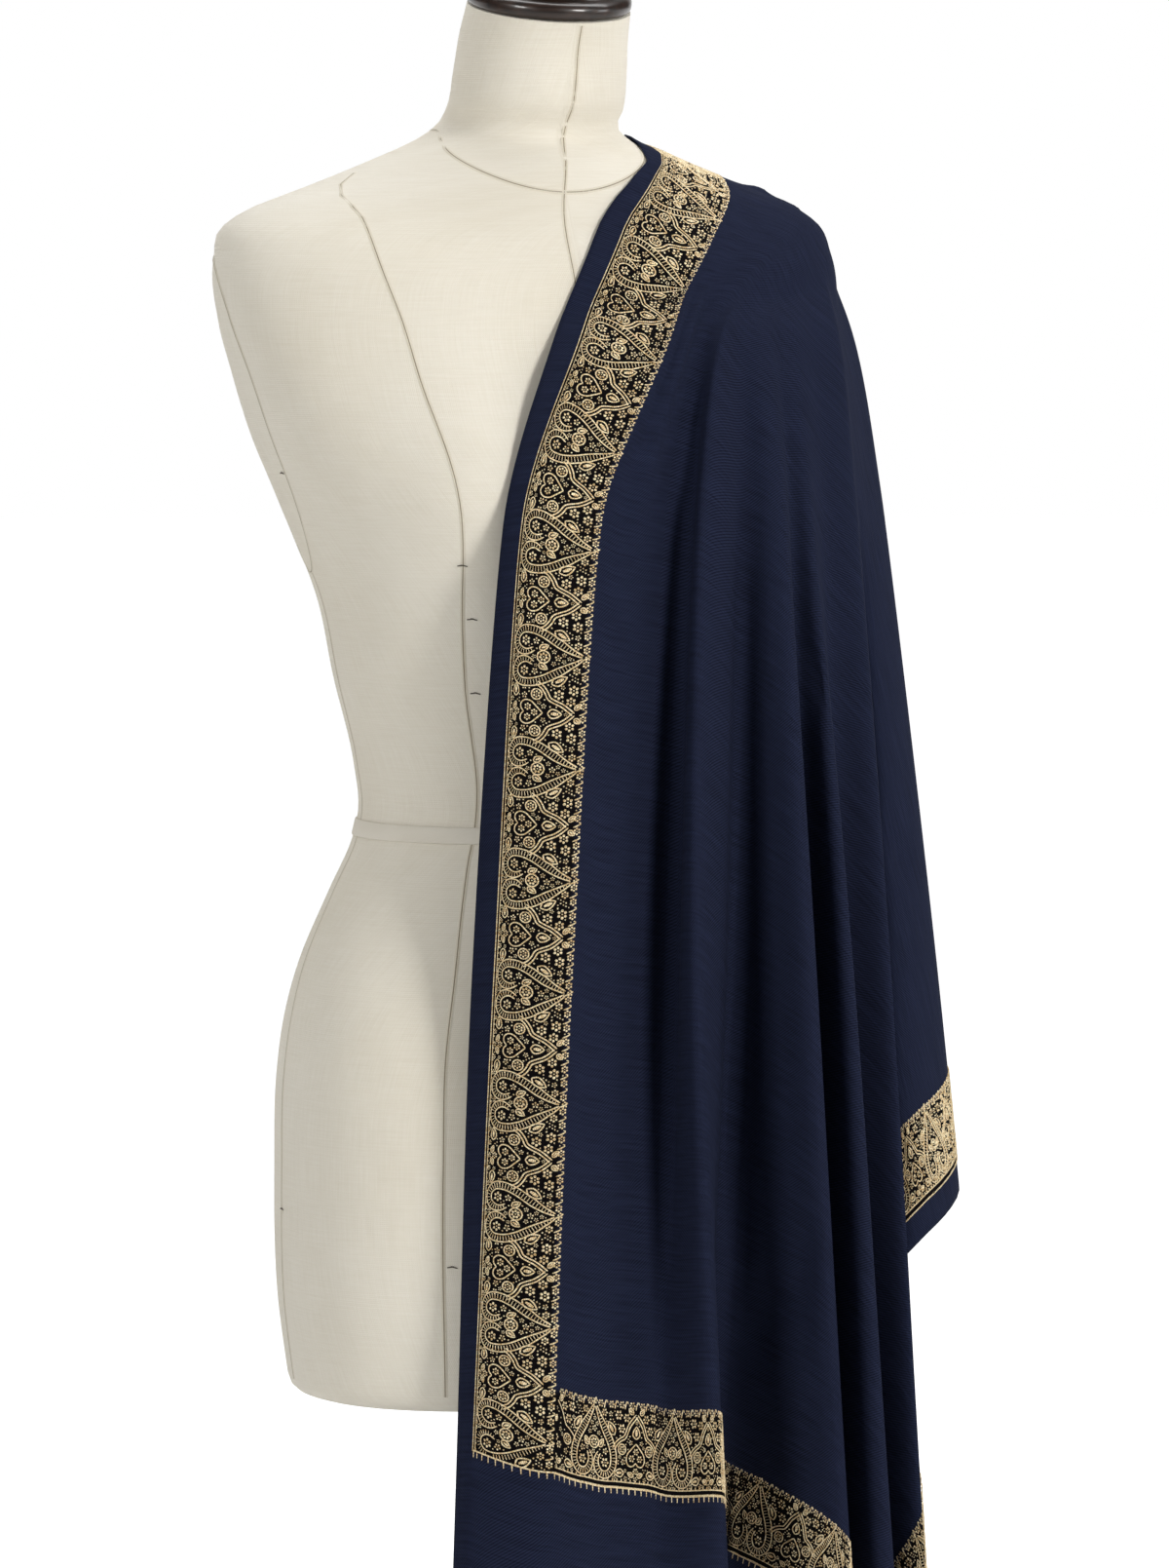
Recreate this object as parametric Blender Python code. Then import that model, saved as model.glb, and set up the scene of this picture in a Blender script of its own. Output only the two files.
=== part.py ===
"""A limbless dress form on a stand with a pashmina stole hung over its left shoulder.

Metres, +Z up. The origin is on the floor under the middle of the stand's base. The form
faces -Y, turned a little towards +X, and its own left side, which carries the stole, is
on +X. The stole is one rectangle of cloth. It is worked out here as a sheet whose every
point has a place across the cloth (u, from the edge beside the neck) and along it
(v, negative in front of the shoulder and positive behind it).
"""

from math import atan2, cos, pi, radians, sin

import bmesh
import bpy
import numpy as np

# ---------------------------------------------------------------- driving sizes
FORM_TURN = radians(20.0)        # the form's front turned towards +X
FORM_BOTTOM = 0.690              # height of the torso's flat underside
NECK_TOP = 1.498                 # height of the neck's cut top, on its axis
NECK_TILT = radians(12.0)        # the neck's top leans forward by this
NECK_TILT_START = 1.440          # and is level up to here
SIDES_ROUND_FORM = 42
WAIST = 1.0215                   # height of the waist tape's middle
TAPE_HEIGHT = 0.0096
TAPE_THICK = 0.0012
GAP = 0.0003                     # between pieces that touch

CAP_RIM = 0.0480                 # radius of the neck cap's rim
BASE_RADIUS = 0.180
BASE_THICK = 0.024
POLE_RADIUS = 0.0125
COLLAR_RADIUS = 0.030
COLLAR_HEIGHT = 0.045

CLOTH_WIDTH = 0.700              # the stole laid flat
FRONT_FALL = 0.940               # from the top of the shoulder to the front end
BACK_FALL = 1.060                # and to the back end
ON_SHOULDER = 0.125              # width of cloth that lies on the shoulder's slope
WALL = 0.0016                    # thickness of the cloth's solid
CLEAR = 0.0038                   # from the form to the middle of the cloth
PLAIN_MARGIN = 0.017             # plain cloth outside the border
BORDER = 0.051                   # width of the embroidered border

STEPS_PER_FOLD = 4               # columns of cloth between one fold line and the next
CURVED_FALL = 0.260              # length of cloth that bends over the shoulder and chest
CURVED_STEPS = 11                # rows of cloth along that
STRAIGHT_STEPS = 7               # and from there down to the hem
TIP_HOLE = 0.006                 # the sheet starts this far from the shoulder tip
TIP_REACH = 0.025                # and is evened out over this far round it
PAST_THE_UNDERSIDE = 0.030       # the form stops holding the cloth out this far below it
RESTING_BLEND = 0.0012           # how softly the cloth comes to rest on the form

# The torso as level rings, measured in the form's own frame. Squareness is the exponent
# of the ring's rounded outline: 2 is an ellipse. Lean moves a ring back (+) or forward.
FORM_RINGS = np.array([
    # height, half breadth, front, back, squareness, lean
    (0.690, 0.1450, 0.110, 0.103, 2.3, 0.000),   # underside
    (0.748, 0.1521, 0.118, 0.112, 2.3, 0.000),
    (0.824, 0.1532, 0.120, 0.118, 2.3, 0.000),   # hips
    (0.877, 0.1520, 0.118, 0.115, 2.3, 0.000),
    (0.911, 0.1475, 0.114, 0.110, 2.3, 0.000),
    (0.942, 0.1399, 0.109, 0.104, 2.2, 0.000),
    (0.985, 0.1218, 0.100, 0.093, 2.1, 0.000),
    (1.016, 0.1075, 0.093, 0.085, 2.1, 0.000),
    (1.030, 0.1045, 0.091, 0.083, 2.1, 0.000),   # waist
    (1.059, 0.1072, 0.094, 0.084, 2.1, 0.000),
    (1.109, 0.1187, 0.103, 0.090, 2.2, 0.000),
    (1.158, 0.1292, 0.113, 0.097, 2.2, 0.000),
    (1.188, 0.1413, 0.119, 0.100, 2.2, 0.000),
    (1.219, 0.1542, 0.122, 0.103, 2.3, 0.000),   # bust
    (1.249, 0.1660, 0.123, 0.100, 2.4, 0.004),
    (1.286, 0.1770, 0.118, 0.092, 2.4, 0.010),
    (1.318, 0.1852, 0.114, 0.081, 2.3, 0.016),
    (1.354, 0.1872, 0.104, 0.067, 2.1, 0.022),   # shoulder tips
    (1.372, 0.1812, 0.095, 0.057, 1.9, 0.025),
    (1.382, 0.1650, 0.089, 0.052, 1.8, 0.025),
    (1.392, 0.1380, 0.084, 0.049, 1.7, 0.024),
    (1.402, 0.1113, 0.080, 0.048, 1.7, 0.023),
    (1.412, 0.0860, 0.075, 0.047, 1.75, 0.023),
    (1.420, 0.0664, 0.068, 0.047, 1.85, 0.023),
    (1.429, 0.0532, 0.062, 0.046, 2.0, 0.016),    # foot of the neck
    (1.438, 0.0518, 0.056, 0.048, 2.0, 0.001),
    (1.459, 0.0506, 0.052, 0.047, 2.0, -0.010),
    (1.478, 0.0492, 0.050, 0.046, 2.0, -0.016),
    (1.498, 0.0474, 0.048, 0.046, 2.0, -0.026),
])
BUST = dict(out=0.020, apart=0.082, wide=0.045, height=1.215, tall=0.055)
TORSO_HEIGHTS = [
    FORM_BOTTOM, 0.6915, 0.696, 0.704, 0.726, 0.760, 0.795, 0.830, 0.865, 0.890, 0.912, 0.934,
    0.955, 0.976, 0.997, WAIST - TAPE_HEIGHT / 2, WAIST + TAPE_HEIGHT / 2, 1.048, 1.075, 1.102,
    1.128, 1.152, 1.173, 1.193, 1.213, 1.233, 1.253, 1.274, 1.296, 1.318, 1.338, 1.354, 1.366,
    1.375, 1.383, 1.391, 1.399, 1.407, 1.415, 1.422, 1.430, 1.442, 1.460, 1.480, NECK_TOP,
]
EDGE_ROUNDING = {FORM_BOTTOM: -0.010, 0.6915: -0.0055, 0.696: -0.0018}

# Turned pieces as (radius, height) pairs from the bottom up.
CAP_PROFILE = [
    (0.0440, 0.0), (0.0472, 0.0012), (CAP_RIM, 0.0045), (0.0474, 0.0080), (0.0440, 0.0100),
    (0.0405, 0.0108), (0.0392, 0.0128), (0.0398, 0.0160), (0.0385, 0.0190), (0.0340, 0.0225),
    (0.0270, 0.0255), (0.0185, 0.0278), (0.0090, 0.0290),
]
BASE_PROFILE = [
    (BASE_RADIUS - 0.004, 0.0), (BASE_RADIUS, 0.004), (BASE_RADIUS, 0.013),
    (BASE_RADIUS - 0.005, 0.018), (BASE_RADIUS - 0.016, 0.021), (COLLAR_RADIUS + 0.006, BASE_THICK),
]
POLE_FOOT = BASE_THICK + GAP
POLE_TOP = FORM_BOTTOM - GAP
POLE_PROFILE = [
    (COLLAR_RADIUS, POLE_FOOT), (COLLAR_RADIUS, POLE_FOOT + COLLAR_HEIGHT - 0.004),
    (COLLAR_RADIUS - 0.004, POLE_FOOT + COLLAR_HEIGHT), (POLE_RADIUS, POLE_FOOT + COLLAR_HEIGHT + 0.002),
    (POLE_RADIUS, POLE_TOP - 0.052), (COLLAR_RADIUS, POLE_TOP - 0.012), (COLLAR_RADIUS + 0.008, POLE_TOP),
]

# The stole's fold lines, each running from the shoulder to the hem, in order from the
# front edge round the side to the back edge. "across" is the width u for the lines that
# cross the shoulder's slope. "spread" is the angle in degrees by which the cloth has
# fanned round the shoulder tip: 0 hangs in front of it, 90 at the side, 180 behind it.
# The rest is where the line stands, in plan, at four heights.
FOLD_HEIGHTS = (1.310, 1.215, 0.950, 0.660)
FRONT_FOLDS = [
    # kind     place      x, y at 1.310     x, y at 1.215      x, y at 0.950      x, y at 0.660
    ("across", 0.000, (0.0130, -0.107), (-0.0145, -0.151), (-0.0340, -0.145), (-0.0435, -0.143)),
    ("across", 0.017, (0.0280, -0.110), (-0.0040, -0.157), (-0.0213, -0.156), (-0.0345, -0.155)),
    ("across", 0.068, (0.0803, -0.093), (0.0425, -0.141), (0.0242, -0.170), (0.0125, -0.168)),
    ("spread", 1.5, (0.1005, -0.076), (0.0865, -0.110), (0.0762, -0.112), (0.0700, -0.132)),
    ("spread", 5.5, (0.1090, -0.078), (0.0970, -0.125), (0.0930, -0.147), (0.1075, -0.151)),
    ("spread", 12.5, (0.1220, -0.064), (0.1245, -0.104), (0.1205, -0.092), (0.1050, -0.070)),
    ("spread", 20.5, (0.1360, -0.057), (0.1425, -0.100), (0.1600, -0.118), (0.1780, -0.118)),
    ("spread", 25.5, (0.1430, -0.048), (0.1480, -0.084), (0.1575, -0.076), (0.1660, -0.070)),
    ("spread", 30.0, (0.1520, -0.042), (0.1586, -0.080), (0.1825, -0.100), (0.2026, -0.103)),
    ("spread", 34.5, (0.1620, -0.030), (0.1680, -0.058), (0.1770, -0.058), (0.1880, -0.050)),
    ("spread", 38.5, (0.1765, -0.012), (0.1863, -0.038), (0.2065, -0.060), (0.2236, -0.072)),
    ("spread", 52.0, (0.1780, 0.010), (0.1865, -0.002), (0.1850, 0.045), (0.1870, 0.060)),
    ("spread", 64.0, (0.1820, 0.035), (0.1945, 0.028), (0.2090, 0.000), (0.2250, -0.025)),
    ("spread", 75.5, (0.1870, 0.060), (0.2045, 0.070), (0.2355, 0.060), (0.2640, 0.060)),
]
BACK_EDGE_FOLDS = [
    ("across", 0.125, (0.1300, 0.140), (0.1220, 0.158), (0.1080, 0.188), (0.0980, 0.200)),
    ("across", 0.095, (0.1120, 0.134), (0.1000, 0.146), (0.0850, 0.168), (0.0750, 0.175)),
    ("across", 0.060, (0.0880, 0.134), (0.0700, 0.147), (0.0520, 0.180), (0.0400, 0.190)),
    ("across", 0.017, (0.0580, 0.124), (0.0300, 0.138), (0.0120, 0.165), (0.0000, 0.172)),
    ("across", 0.000, (0.0460, 0.118), (0.0160, 0.131), (-0.0030, 0.157), (-0.0150, 0.162)),
]
# Behind the side the pleats are even. Their crests follow this line in plan, from the
# side fold (0) to the first line of the back edge (1), and their hollows lie inside it.
BACK_CREST_LINE = [
    (0.00, (0.187, 0.060), (0.2045, 0.070), (0.2355, 0.060), (0.264, 0.060)),
    (0.25, (0.183, 0.098), (0.2000, 0.105), (0.2320, 0.125), (0.258, 0.135)),
    (0.50, (0.172, 0.127), (0.1830, 0.140), (0.2030, 0.170), (0.215, 0.190)),
    (0.75, (0.150, 0.137), (0.1550, 0.155), (0.1600, 0.190), (0.160, 0.205)),
    (1.00, (0.130, 0.140), (0.1220, 0.158), (0.1080, 0.188), (0.098, 0.200)),
]
BACK_PLEATS = 6                       # crests between the side fold and the back edge
BACK_PLEAT_DEPTH = (0.004, 0.018, 0.055, 0.085)
BACK_PLEAT_CENTRE = (0.020, 0.000)    # the hollows point at this place in plan
SIDE_FOLD_SPREAD = 75.5
LOWER_HEIGHTS = (0.350, 0.050)        # the fold lines are carried on to these heights

# Where the cloth crosses the shoulder: width u, and distance from the form's middle.
SHOULDER_PLACES = [
    (0.000, 0.0640), (PLAIN_MARGIN, 0.0775), (PLAIN_MARGIN + BORDER, 0.1255), (ON_SHOULDER, 0.1745),
]

# Small soft creases: where each starts and ends on the cloth (u, v), how far it stands
# out (+) or in (-), and its half width.
CREASES = [
    # u1      v1      u2     v2     height   half width
    (0.076, -0.100, 0.066, -0.300, 0.0040, 0.0090),
    (0.094, -0.100, 0.101, -0.320, 0.0045, 0.0090),
    (0.104, 0.040, 0.088, -0.130, 0.0040, 0.0090),
]


# ---------------------------------------------------------------- curves through tables
def through(x, knots, values):
    """A smooth curve through a table's values, read at x and held level past its ends."""
    knots = np.asarray(knots, float)
    values = np.asarray(values, float)
    slope = np.gradient(values, knots, axis=0)
    x = np.clip(x, knots[0], knots[-1])
    i = np.clip(np.searchsorted(knots, x) - 1, 0, len(knots) - 2)
    step = knots[i + 1] - knots[i]
    t = (x - knots[i]) / step
    spread = (Ellipsis,) + (None,) * (values.ndim - 1)
    t, step = t[spread], step[spread]
    start = values[i] * (1 + 2 * t) * (1 - t) ** 2
    end = values[i + 1] * t * t * (3 - 2 * t)
    return start + end + step * t * (1 - t) * (slope[i] * (1 - t) - slope[i + 1] * t)


def soft_positive(value, width):
    """Nearly max(value, 0), rounded over the given width."""
    return width * np.logaddexp(0.0, value / width)


# ---------------------------------------------------------------- the dress form
def into_form(points):
    """World points in the form's own frame, with its front along -Y."""
    c, s = cos(FORM_TURN), sin(FORM_TURN)
    x, y, z = np.moveaxis(points, -1, 0)
    return np.stack([x * c + y * s, -x * s + y * c, z], axis=-1)


def out_of_form(points):
    """The form's own points in the world."""
    c, s = cos(FORM_TURN), sin(FORM_TURN)
    x, y, z = np.moveaxis(points, -1, 0)
    return np.stack([x * c - y * s, x * s + y * c, z], axis=-1)


def bust_swell(x, z):
    across = (np.abs(x) - BUST["apart"]) / BUST["wide"]
    up = (z - BUST["height"]) / BUST["tall"]
    return BUST["out"] * np.exp(-across ** 2 - up ** 2)


def form_level(points):
    """1 on the form's surface, less inside it and more outside."""
    x, y, z = np.moveaxis(into_form(points), -1, 0)
    rings = through(z, FORM_RINGS[:, 0], FORM_RINGS[:, 1:])
    breadth, front, back, square, lean = np.moveaxis(rings, -1, 0)
    y = y - lean
    depth = np.where(y < 0, front + bust_swell(x, z), back)
    return (np.abs(x / breadth) ** square + np.abs(y / depth) ** square) ** (1 / square)


def distance_to_form(points):
    """A close estimate of the distance from the form, and the way out from it."""
    h = 1e-4
    slope = np.stack([
        (form_level(points + h * axis) - form_level(points - h * axis)) / (2 * h)
        for axis in np.eye(3)
    ], axis=-1)
    steep = np.linalg.norm(slope, axis=-1) + 1e-9
    return (form_level(points) - 1) / steep, slope / steep[..., None]


def form_ring(height, outward=0.0):
    """The torso's outline at one height, as points in the world."""
    points = []
    for k in range(SIDES_ROUND_FORM):
        angle = 2 * pi * k / SIDES_ROUND_FORM
        way = np.array([cos(angle), sin(angle), 0.0])
        low, high = 0.0, 0.4
        for _ in range(30):
            middle = (low + high) / 2
            lean = through(np.array(height), FORM_RINGS[:, 0], FORM_RINGS[:, 5])
            place = middle * way + np.array([0.0, float(lean), height])
            if form_level(out_of_form(place)) < 1:
                low = middle
            else:
                high = middle
        place = (low + outward) * way + np.array([0.0, float(lean), height])
        points.append(place)
    return np.array(points)


def neck_tilt(points):
    """Tips the upper neck forward, so that its cut top leans by NECK_TILT."""
    share = np.clip((points[:, 2] - NECK_TILT_START) / (NECK_TOP - NECK_TILT_START), 0, 1)
    y = points[:, 1] - FORM_RINGS[-1, 5]
    points[:, 2] += share * y * np.tan(NECK_TILT)
    return points


# ---------------------------------------------------------------- the stole as a sheet
def ridge_place(u):
    """Where width u of the cloth crosses the top of the left shoulder."""
    widths, places = np.array(SHOULDER_PLACES).T
    x = through(u, widths, places)
    slope = FORM_RINGS[(FORM_RINGS[:, 0] > 1.353) & (FORM_RINGS[:, 0] < 1.435)][::-1]
    z, lean = through(x, slope[:, 1], slope[:, 0]), through(x, slope[:, 1], slope[:, 5])
    return out_of_form(np.stack([x, lean, z + CLEAR], axis=-1))


def back_pleats():
    """The even pleats behind the side fold, in the same form as FRONT_FOLDS."""
    folds = []
    lines = 2 * BACK_PLEATS - 1
    knots = [row[0] for row in BACK_CREST_LINE]
    places = np.array([row[1:] for row in BACK_CREST_LINE])
    first, last = SIDE_FOLD_SPREAD, 180.0
    for k in range(1, lines + 1):
        share = k / (lines + 1)
        place = through(np.array(share), knots, places)
        if k % 2:
            inward = np.array(BACK_PLEAT_CENTRE) - place
            inward /= np.linalg.norm(inward, axis=1)[:, None]
            place = place + inward * np.array(BACK_PLEAT_DEPTH)[:, None]
        folds.append(("spread", first + (last - first) * share, *place))
    return folds


def along_cloth(kind, place, behind):
    """One number for a fold line: metres on the shoulder, then radians round its tip."""
    if kind == "spread":
        return radians(place)
    return pi + ON_SHOULDER - place if behind else place - ON_SHOULDER


class Stole:
    """The hanging sheet. at(u, v) gives the middle of the cloth at a place on it."""

    FINE_ACROSS = 10
    FINE_DOWN = 16

    def __init__(self):
        lines = [(row, False) for row in FRONT_FOLDS]
        lines += [(row, True) for row in back_pleats() + BACK_EDGE_FOLDS]
        self.line = np.array([along_cloth(row[0], row[1], behind) for row, behind in lines])
        frame = np.array([self.hang(row) for row, _ in lines])
        self.grid = self.smooth(self.smooth(frame, 0, self.FINE_ACROSS), 1, self.FINE_DOWN)
        self.measure()
        self.add_creases()
        self.keep_off_form()
        self.measure()

    @staticmethod
    def hang(row):
        """The fold line's points from the shoulder down."""
        kind, place = row[0], row[1]
        top = ridge_place(np.array(place if kind == "across" else ON_SHOULDER))
        plan = np.array(row[2:], float)
        points = [top] + [np.array([*xy, z]) for xy, z in zip(plan, FOLD_HEIGHTS)]
        run = (plan[-1] - plan[-2]) / (FOLD_HEIGHTS[-1] - FOLD_HEIGHTS[-2])
        for z in LOWER_HEIGHTS:
            points.append(np.array([*(plan[-1] + run * (z - FOLD_HEIGHTS[-1])), z]))
        return points

    @staticmethod
    def smooth(points, axis, steps):
        """More points between the given ones, on a smooth curve that can't overshoot.

        Its direction at a point halves the corner there, so that a pleat's sharp turn
        is rounded evenly on both its legs.
        """
        points = np.moveaxis(points, axis, 0)
        leg = np.diff(points, axis=0)
        length = np.linalg.norm(leg, axis=-1, keepdims=True)
        way = leg / (length + 1e-12)
        both = np.concatenate([way[:1], way]) + np.concatenate([way, way[-1:]])
        least = np.minimum(np.concatenate([length[:1], length]), np.concatenate([length, length[-1:]]))
        straight = np.linalg.norm(both, axis=-1, keepdims=True) / 2
        slope = both / (2 * straight + 1e-9) * least * (0.45 + 0.55 * straight)
        t = np.linspace(0, 1, steps, endpoint=False)[:, None, None]
        a, b, c, d = points[:-1, None], points[1:, None], slope[:-1, None], slope[1:, None]
        bend = a * (1 + 2 * t) * (1 - t) ** 2 + b * t * t * (3 - 2 * t)
        bend = bend + t * (1 - t) * (c * (1 - t) - d * t)
        bend = bend.reshape(-1, *points.shape[1:])
        return np.moveaxis(np.concatenate([bend, points[-1:]]), 0, axis)

    def measure(self):
        """The length of fall from the shoulder to each point of the grid."""
        steps = np.linalg.norm(np.diff(self.grid, axis=1), axis=-1)
        self.fall = np.concatenate([np.zeros((len(steps), 1)), np.cumsum(steps, axis=1)], axis=1)

    def add_creases(self):
        """Lifts or sinks the grid along each crease."""
        columns = np.arange(len(self.grid)) / self.FINE_ACROSS
        line = np.interp(columns, np.arange(len(self.line)), self.line)
        u, v = on_cloth(line[:, None], self.fall)
        rise = np.zeros(u.shape)
        for u1, v1, u2, v2, height, half_width in CREASES:
            run = np.hypot(u2 - u1, v2 - v1)
            du, dv = (u2 - u1) / run, (v2 - v1) / run
            along = ((u - u1) * du + (v - v1) * dv) / run
            aside = (u - u1) * dv - (v - v1) * du
            ends = np.clip(4 * along, 0, 1) * np.clip(4 * (1 - along), 0, 1)
            rise += height * ends * np.exp(-(aside / half_width) ** 2)
        normal = np.cross(np.gradient(self.grid, axis=1), np.gradient(self.grid, axis=0))
        normal /= (np.linalg.norm(normal, axis=-1) + 1e-12)[..., None]
        self.grid = self.grid + normal * rise[..., None]

    def keep_off_form(self):
        """Lifts what would lie inside the form to rest just off its surface."""
        distance, way = distance_to_form(self.grid)
        below = FORM_BOTTOM - self.grid[..., 2]
        beside = np.clip(1 - below / PAST_THE_UNDERSIDE, 0, 1)
        lift = soft_positive(CLEAR - distance, RESTING_BLEND) * beside
        wanted = distance + lift
        for _ in range(4):
            self.grid = self.grid + way * (wanted - distance)[..., None] * (lift > 1e-5)[..., None]
            distance, way = distance_to_form(self.grid)

    def locate(self, u, v):
        """The fold coordinate and the length of fall of a place on the cloth."""
        past = u - ON_SHOULDER
        behind = v > 0
        line = np.where(behind, pi - past, past)
        fanned = past > 0
        line = np.where(fanned, np.arctan2(past, -v), line)
        return line, np.where(fanned, np.hypot(past, v), np.abs(v))

    def on_line(self, line, fall):
        """The place at a length of fall down the cloth on a fold coordinate."""
        line, fall = np.broadcast_arrays(np.asarray(line, float), np.asarray(fall, float))
        column = np.interp(line, self.line, np.arange(len(self.line))) * self.FINE_ACROSS
        left = np.clip(column.astype(int), 0, len(self.grid) - 2)
        share = (column - left)[..., None]
        return self.down(left, fall) * (1 - share) + self.down(left + 1, fall) * share

    def down(self, column, fall):
        """The place at a length of fall down whole columns of the grid."""
        out = np.empty(column.shape + (3,))
        for k in np.unique(column):
            here = column == k
            for axis in range(3):
                out[here, axis] = np.interp(fall[here], self.fall[k], self.grid[k, :, axis])
        return out

    def bare(self, u, v):
        return self.on_line(*self.locate(np.asarray(u, float), np.asarray(v, float)))

    def outward(self, u, v):
        """The cloth's upper side: away from the form. Round its tip it is evened out."""
        h = np.where(np.hypot(u - ON_SHOULDER, v) < TIP_REACH, 0.006, 0.003)
        across = self.bare(u + h, v) - self.bare(u - h, v)
        along = self.bare(u, v + h) - self.bare(u, v - h)
        normal = np.cross(across, along)
        return normal / (np.linalg.norm(normal, axis=-1) + 1e-12)[..., None]

    def at(self, u, v, lift=0.0):
        u, v = np.asarray(u, float), np.asarray(v, float)
        return self.bare(u, v) + self.outward(u, v) * lift


def longest_fall(line):
    """How far down the cloth its cut edge is, on a fold coordinate."""
    if line <= 0:
        return FRONT_FALL
    if line >= pi:
        return BACK_FALL
    side = (CLOTH_WIDTH - ON_SHOULDER) / max(sin(line), 1e-9)
    if line < pi / 2:
        return min(side, FRONT_FALL / max(cos(line), 1e-9))
    return min(side, BACK_FALL / max(-cos(line), 1e-9))


def on_cloth(line, fall):
    """The place u, v on the cloth of fold coordinates and lengths of fall."""
    past = np.minimum(line, 0) + np.minimum(pi - line, 0)
    fanned = np.clip(line, 0, pi)
    return ON_SHOULDER + past + fall * np.sin(fanned), -fall * np.cos(fanned)


# ---------------------------------------------------------------- making meshes
def clear_scene():
    for thing in list(bpy.data.objects):
        bpy.data.objects.remove(thing, do_unlink=True)


def material(name, colour, roughness, metallic=0.0):
    made = bpy.data.materials.new(name)
    made.use_nodes = True
    shader = made.node_tree.nodes["Principled BSDF"]
    shader.inputs["Base Color"].default_value = (*colour, 1.0)
    shader.inputs["Roughness"].default_value = roughness
    shader.inputs["Metallic"].default_value = metallic
    return made


def add_object(name, points, faces, finish):
    mesh = bpy.data.meshes.new(name)
    mesh.from_pydata([tuple(map(float, p)) for p in points], [], faces)
    work = bmesh.new()
    work.from_mesh(mesh)
    bmesh.ops.recalc_face_normals(work, faces=work.faces)
    work.to_mesh(mesh)
    work.free()
    mesh.shade_smooth()
    mesh.set_sharp_from_angle(angle=radians(35))
    mesh.materials.append(finish)
    made = bpy.data.objects.new(name, mesh)
    bpy.context.scene.collection.objects.link(made)
    return made


def ring_faces(rings, sides, closed_ends=True):
    faces = []
    for r in range(rings - 1):
        for k in range(sides):
            a, b = r * sides + k, r * sides + (k + 1) % sides
            faces.append((a, b, b + sides, a + sides))
    if closed_ends:
        faces.append(tuple(range(sides))[::-1])
        faces.append(tuple(range((rings - 1) * sides, rings * sides)))
    return faces


def turned(name, profile, finish, sides=40, place=None):
    """A turned piece from (radius, height) pairs, closed flat at both ends."""
    points = []
    for radius, height in profile:
        for k in range(sides):
            angle = 2 * pi * k / sides
            points.append((radius * cos(angle), radius * sin(angle), height))
    points = np.array(points)
    if place is not None:
        points = place(points)
    return add_object(name, points, ring_faces(len(profile), sides), finish)


def make_torso(finish):
    rings = [neck_tilt(form_ring(z, EDGE_ROUNDING.get(z, 0.0))) for z in TORSO_HEIGHTS]
    points = out_of_form(np.concatenate(rings))
    return add_object("form_torso", points, ring_faces(len(rings), SIDES_ROUND_FORM), finish)


def make_waist_tape(finish):
    low, high = WAIST - TAPE_HEIGHT / 2, WAIST + TAPE_HEIGHT / 2
    inner, outer = GAP * 1.5, GAP * 1.5 + TAPE_THICK
    loop = [form_ring(low, inner), form_ring(low, outer), form_ring(high, outer),
            form_ring(high, inner)]
    points = out_of_form(np.concatenate(loop + loop[:1]))[:4 * SIDES_ROUND_FORM]
    faces = ring_faces(4, SIDES_ROUND_FORM, closed_ends=False)
    for k in range(SIDES_ROUND_FORM):
        a, b = 3 * SIDES_ROUND_FORM + k, 3 * SIDES_ROUND_FORM + (k + 1) % SIDES_ROUND_FORM
        faces.append((a, b, (k + 1) % SIDES_ROUND_FORM, k))
    return add_object("waist_tape", points, faces, finish)


def on_neck(points):
    """Sets a turned piece, made round +Z at the origin, on the neck's leaning top."""
    x, y, z = points.T
    lift = GAP / cos(NECK_TILT)
    c, s = cos(NECK_TILT), sin(NECK_TILT)
    leaned = np.stack([x, y * c - z * s, NECK_TOP + lift + y * s + z * c], axis=-1)
    leaned[:, 1] += FORM_RINGS[-1, 5]
    return out_of_form(leaned)


def rows_down(start, end):
    """Lengths of fall for the rows: close together where the cloth bends over the form."""
    curved = start + (CURVED_FALL - start) * np.linspace(0, 1, CURVED_STEPS + 1) ** 1.3
    return np.concatenate([curved, np.linspace(CURVED_FALL, end, STRAIGHT_STEPS + 1)[1:]])


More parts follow.
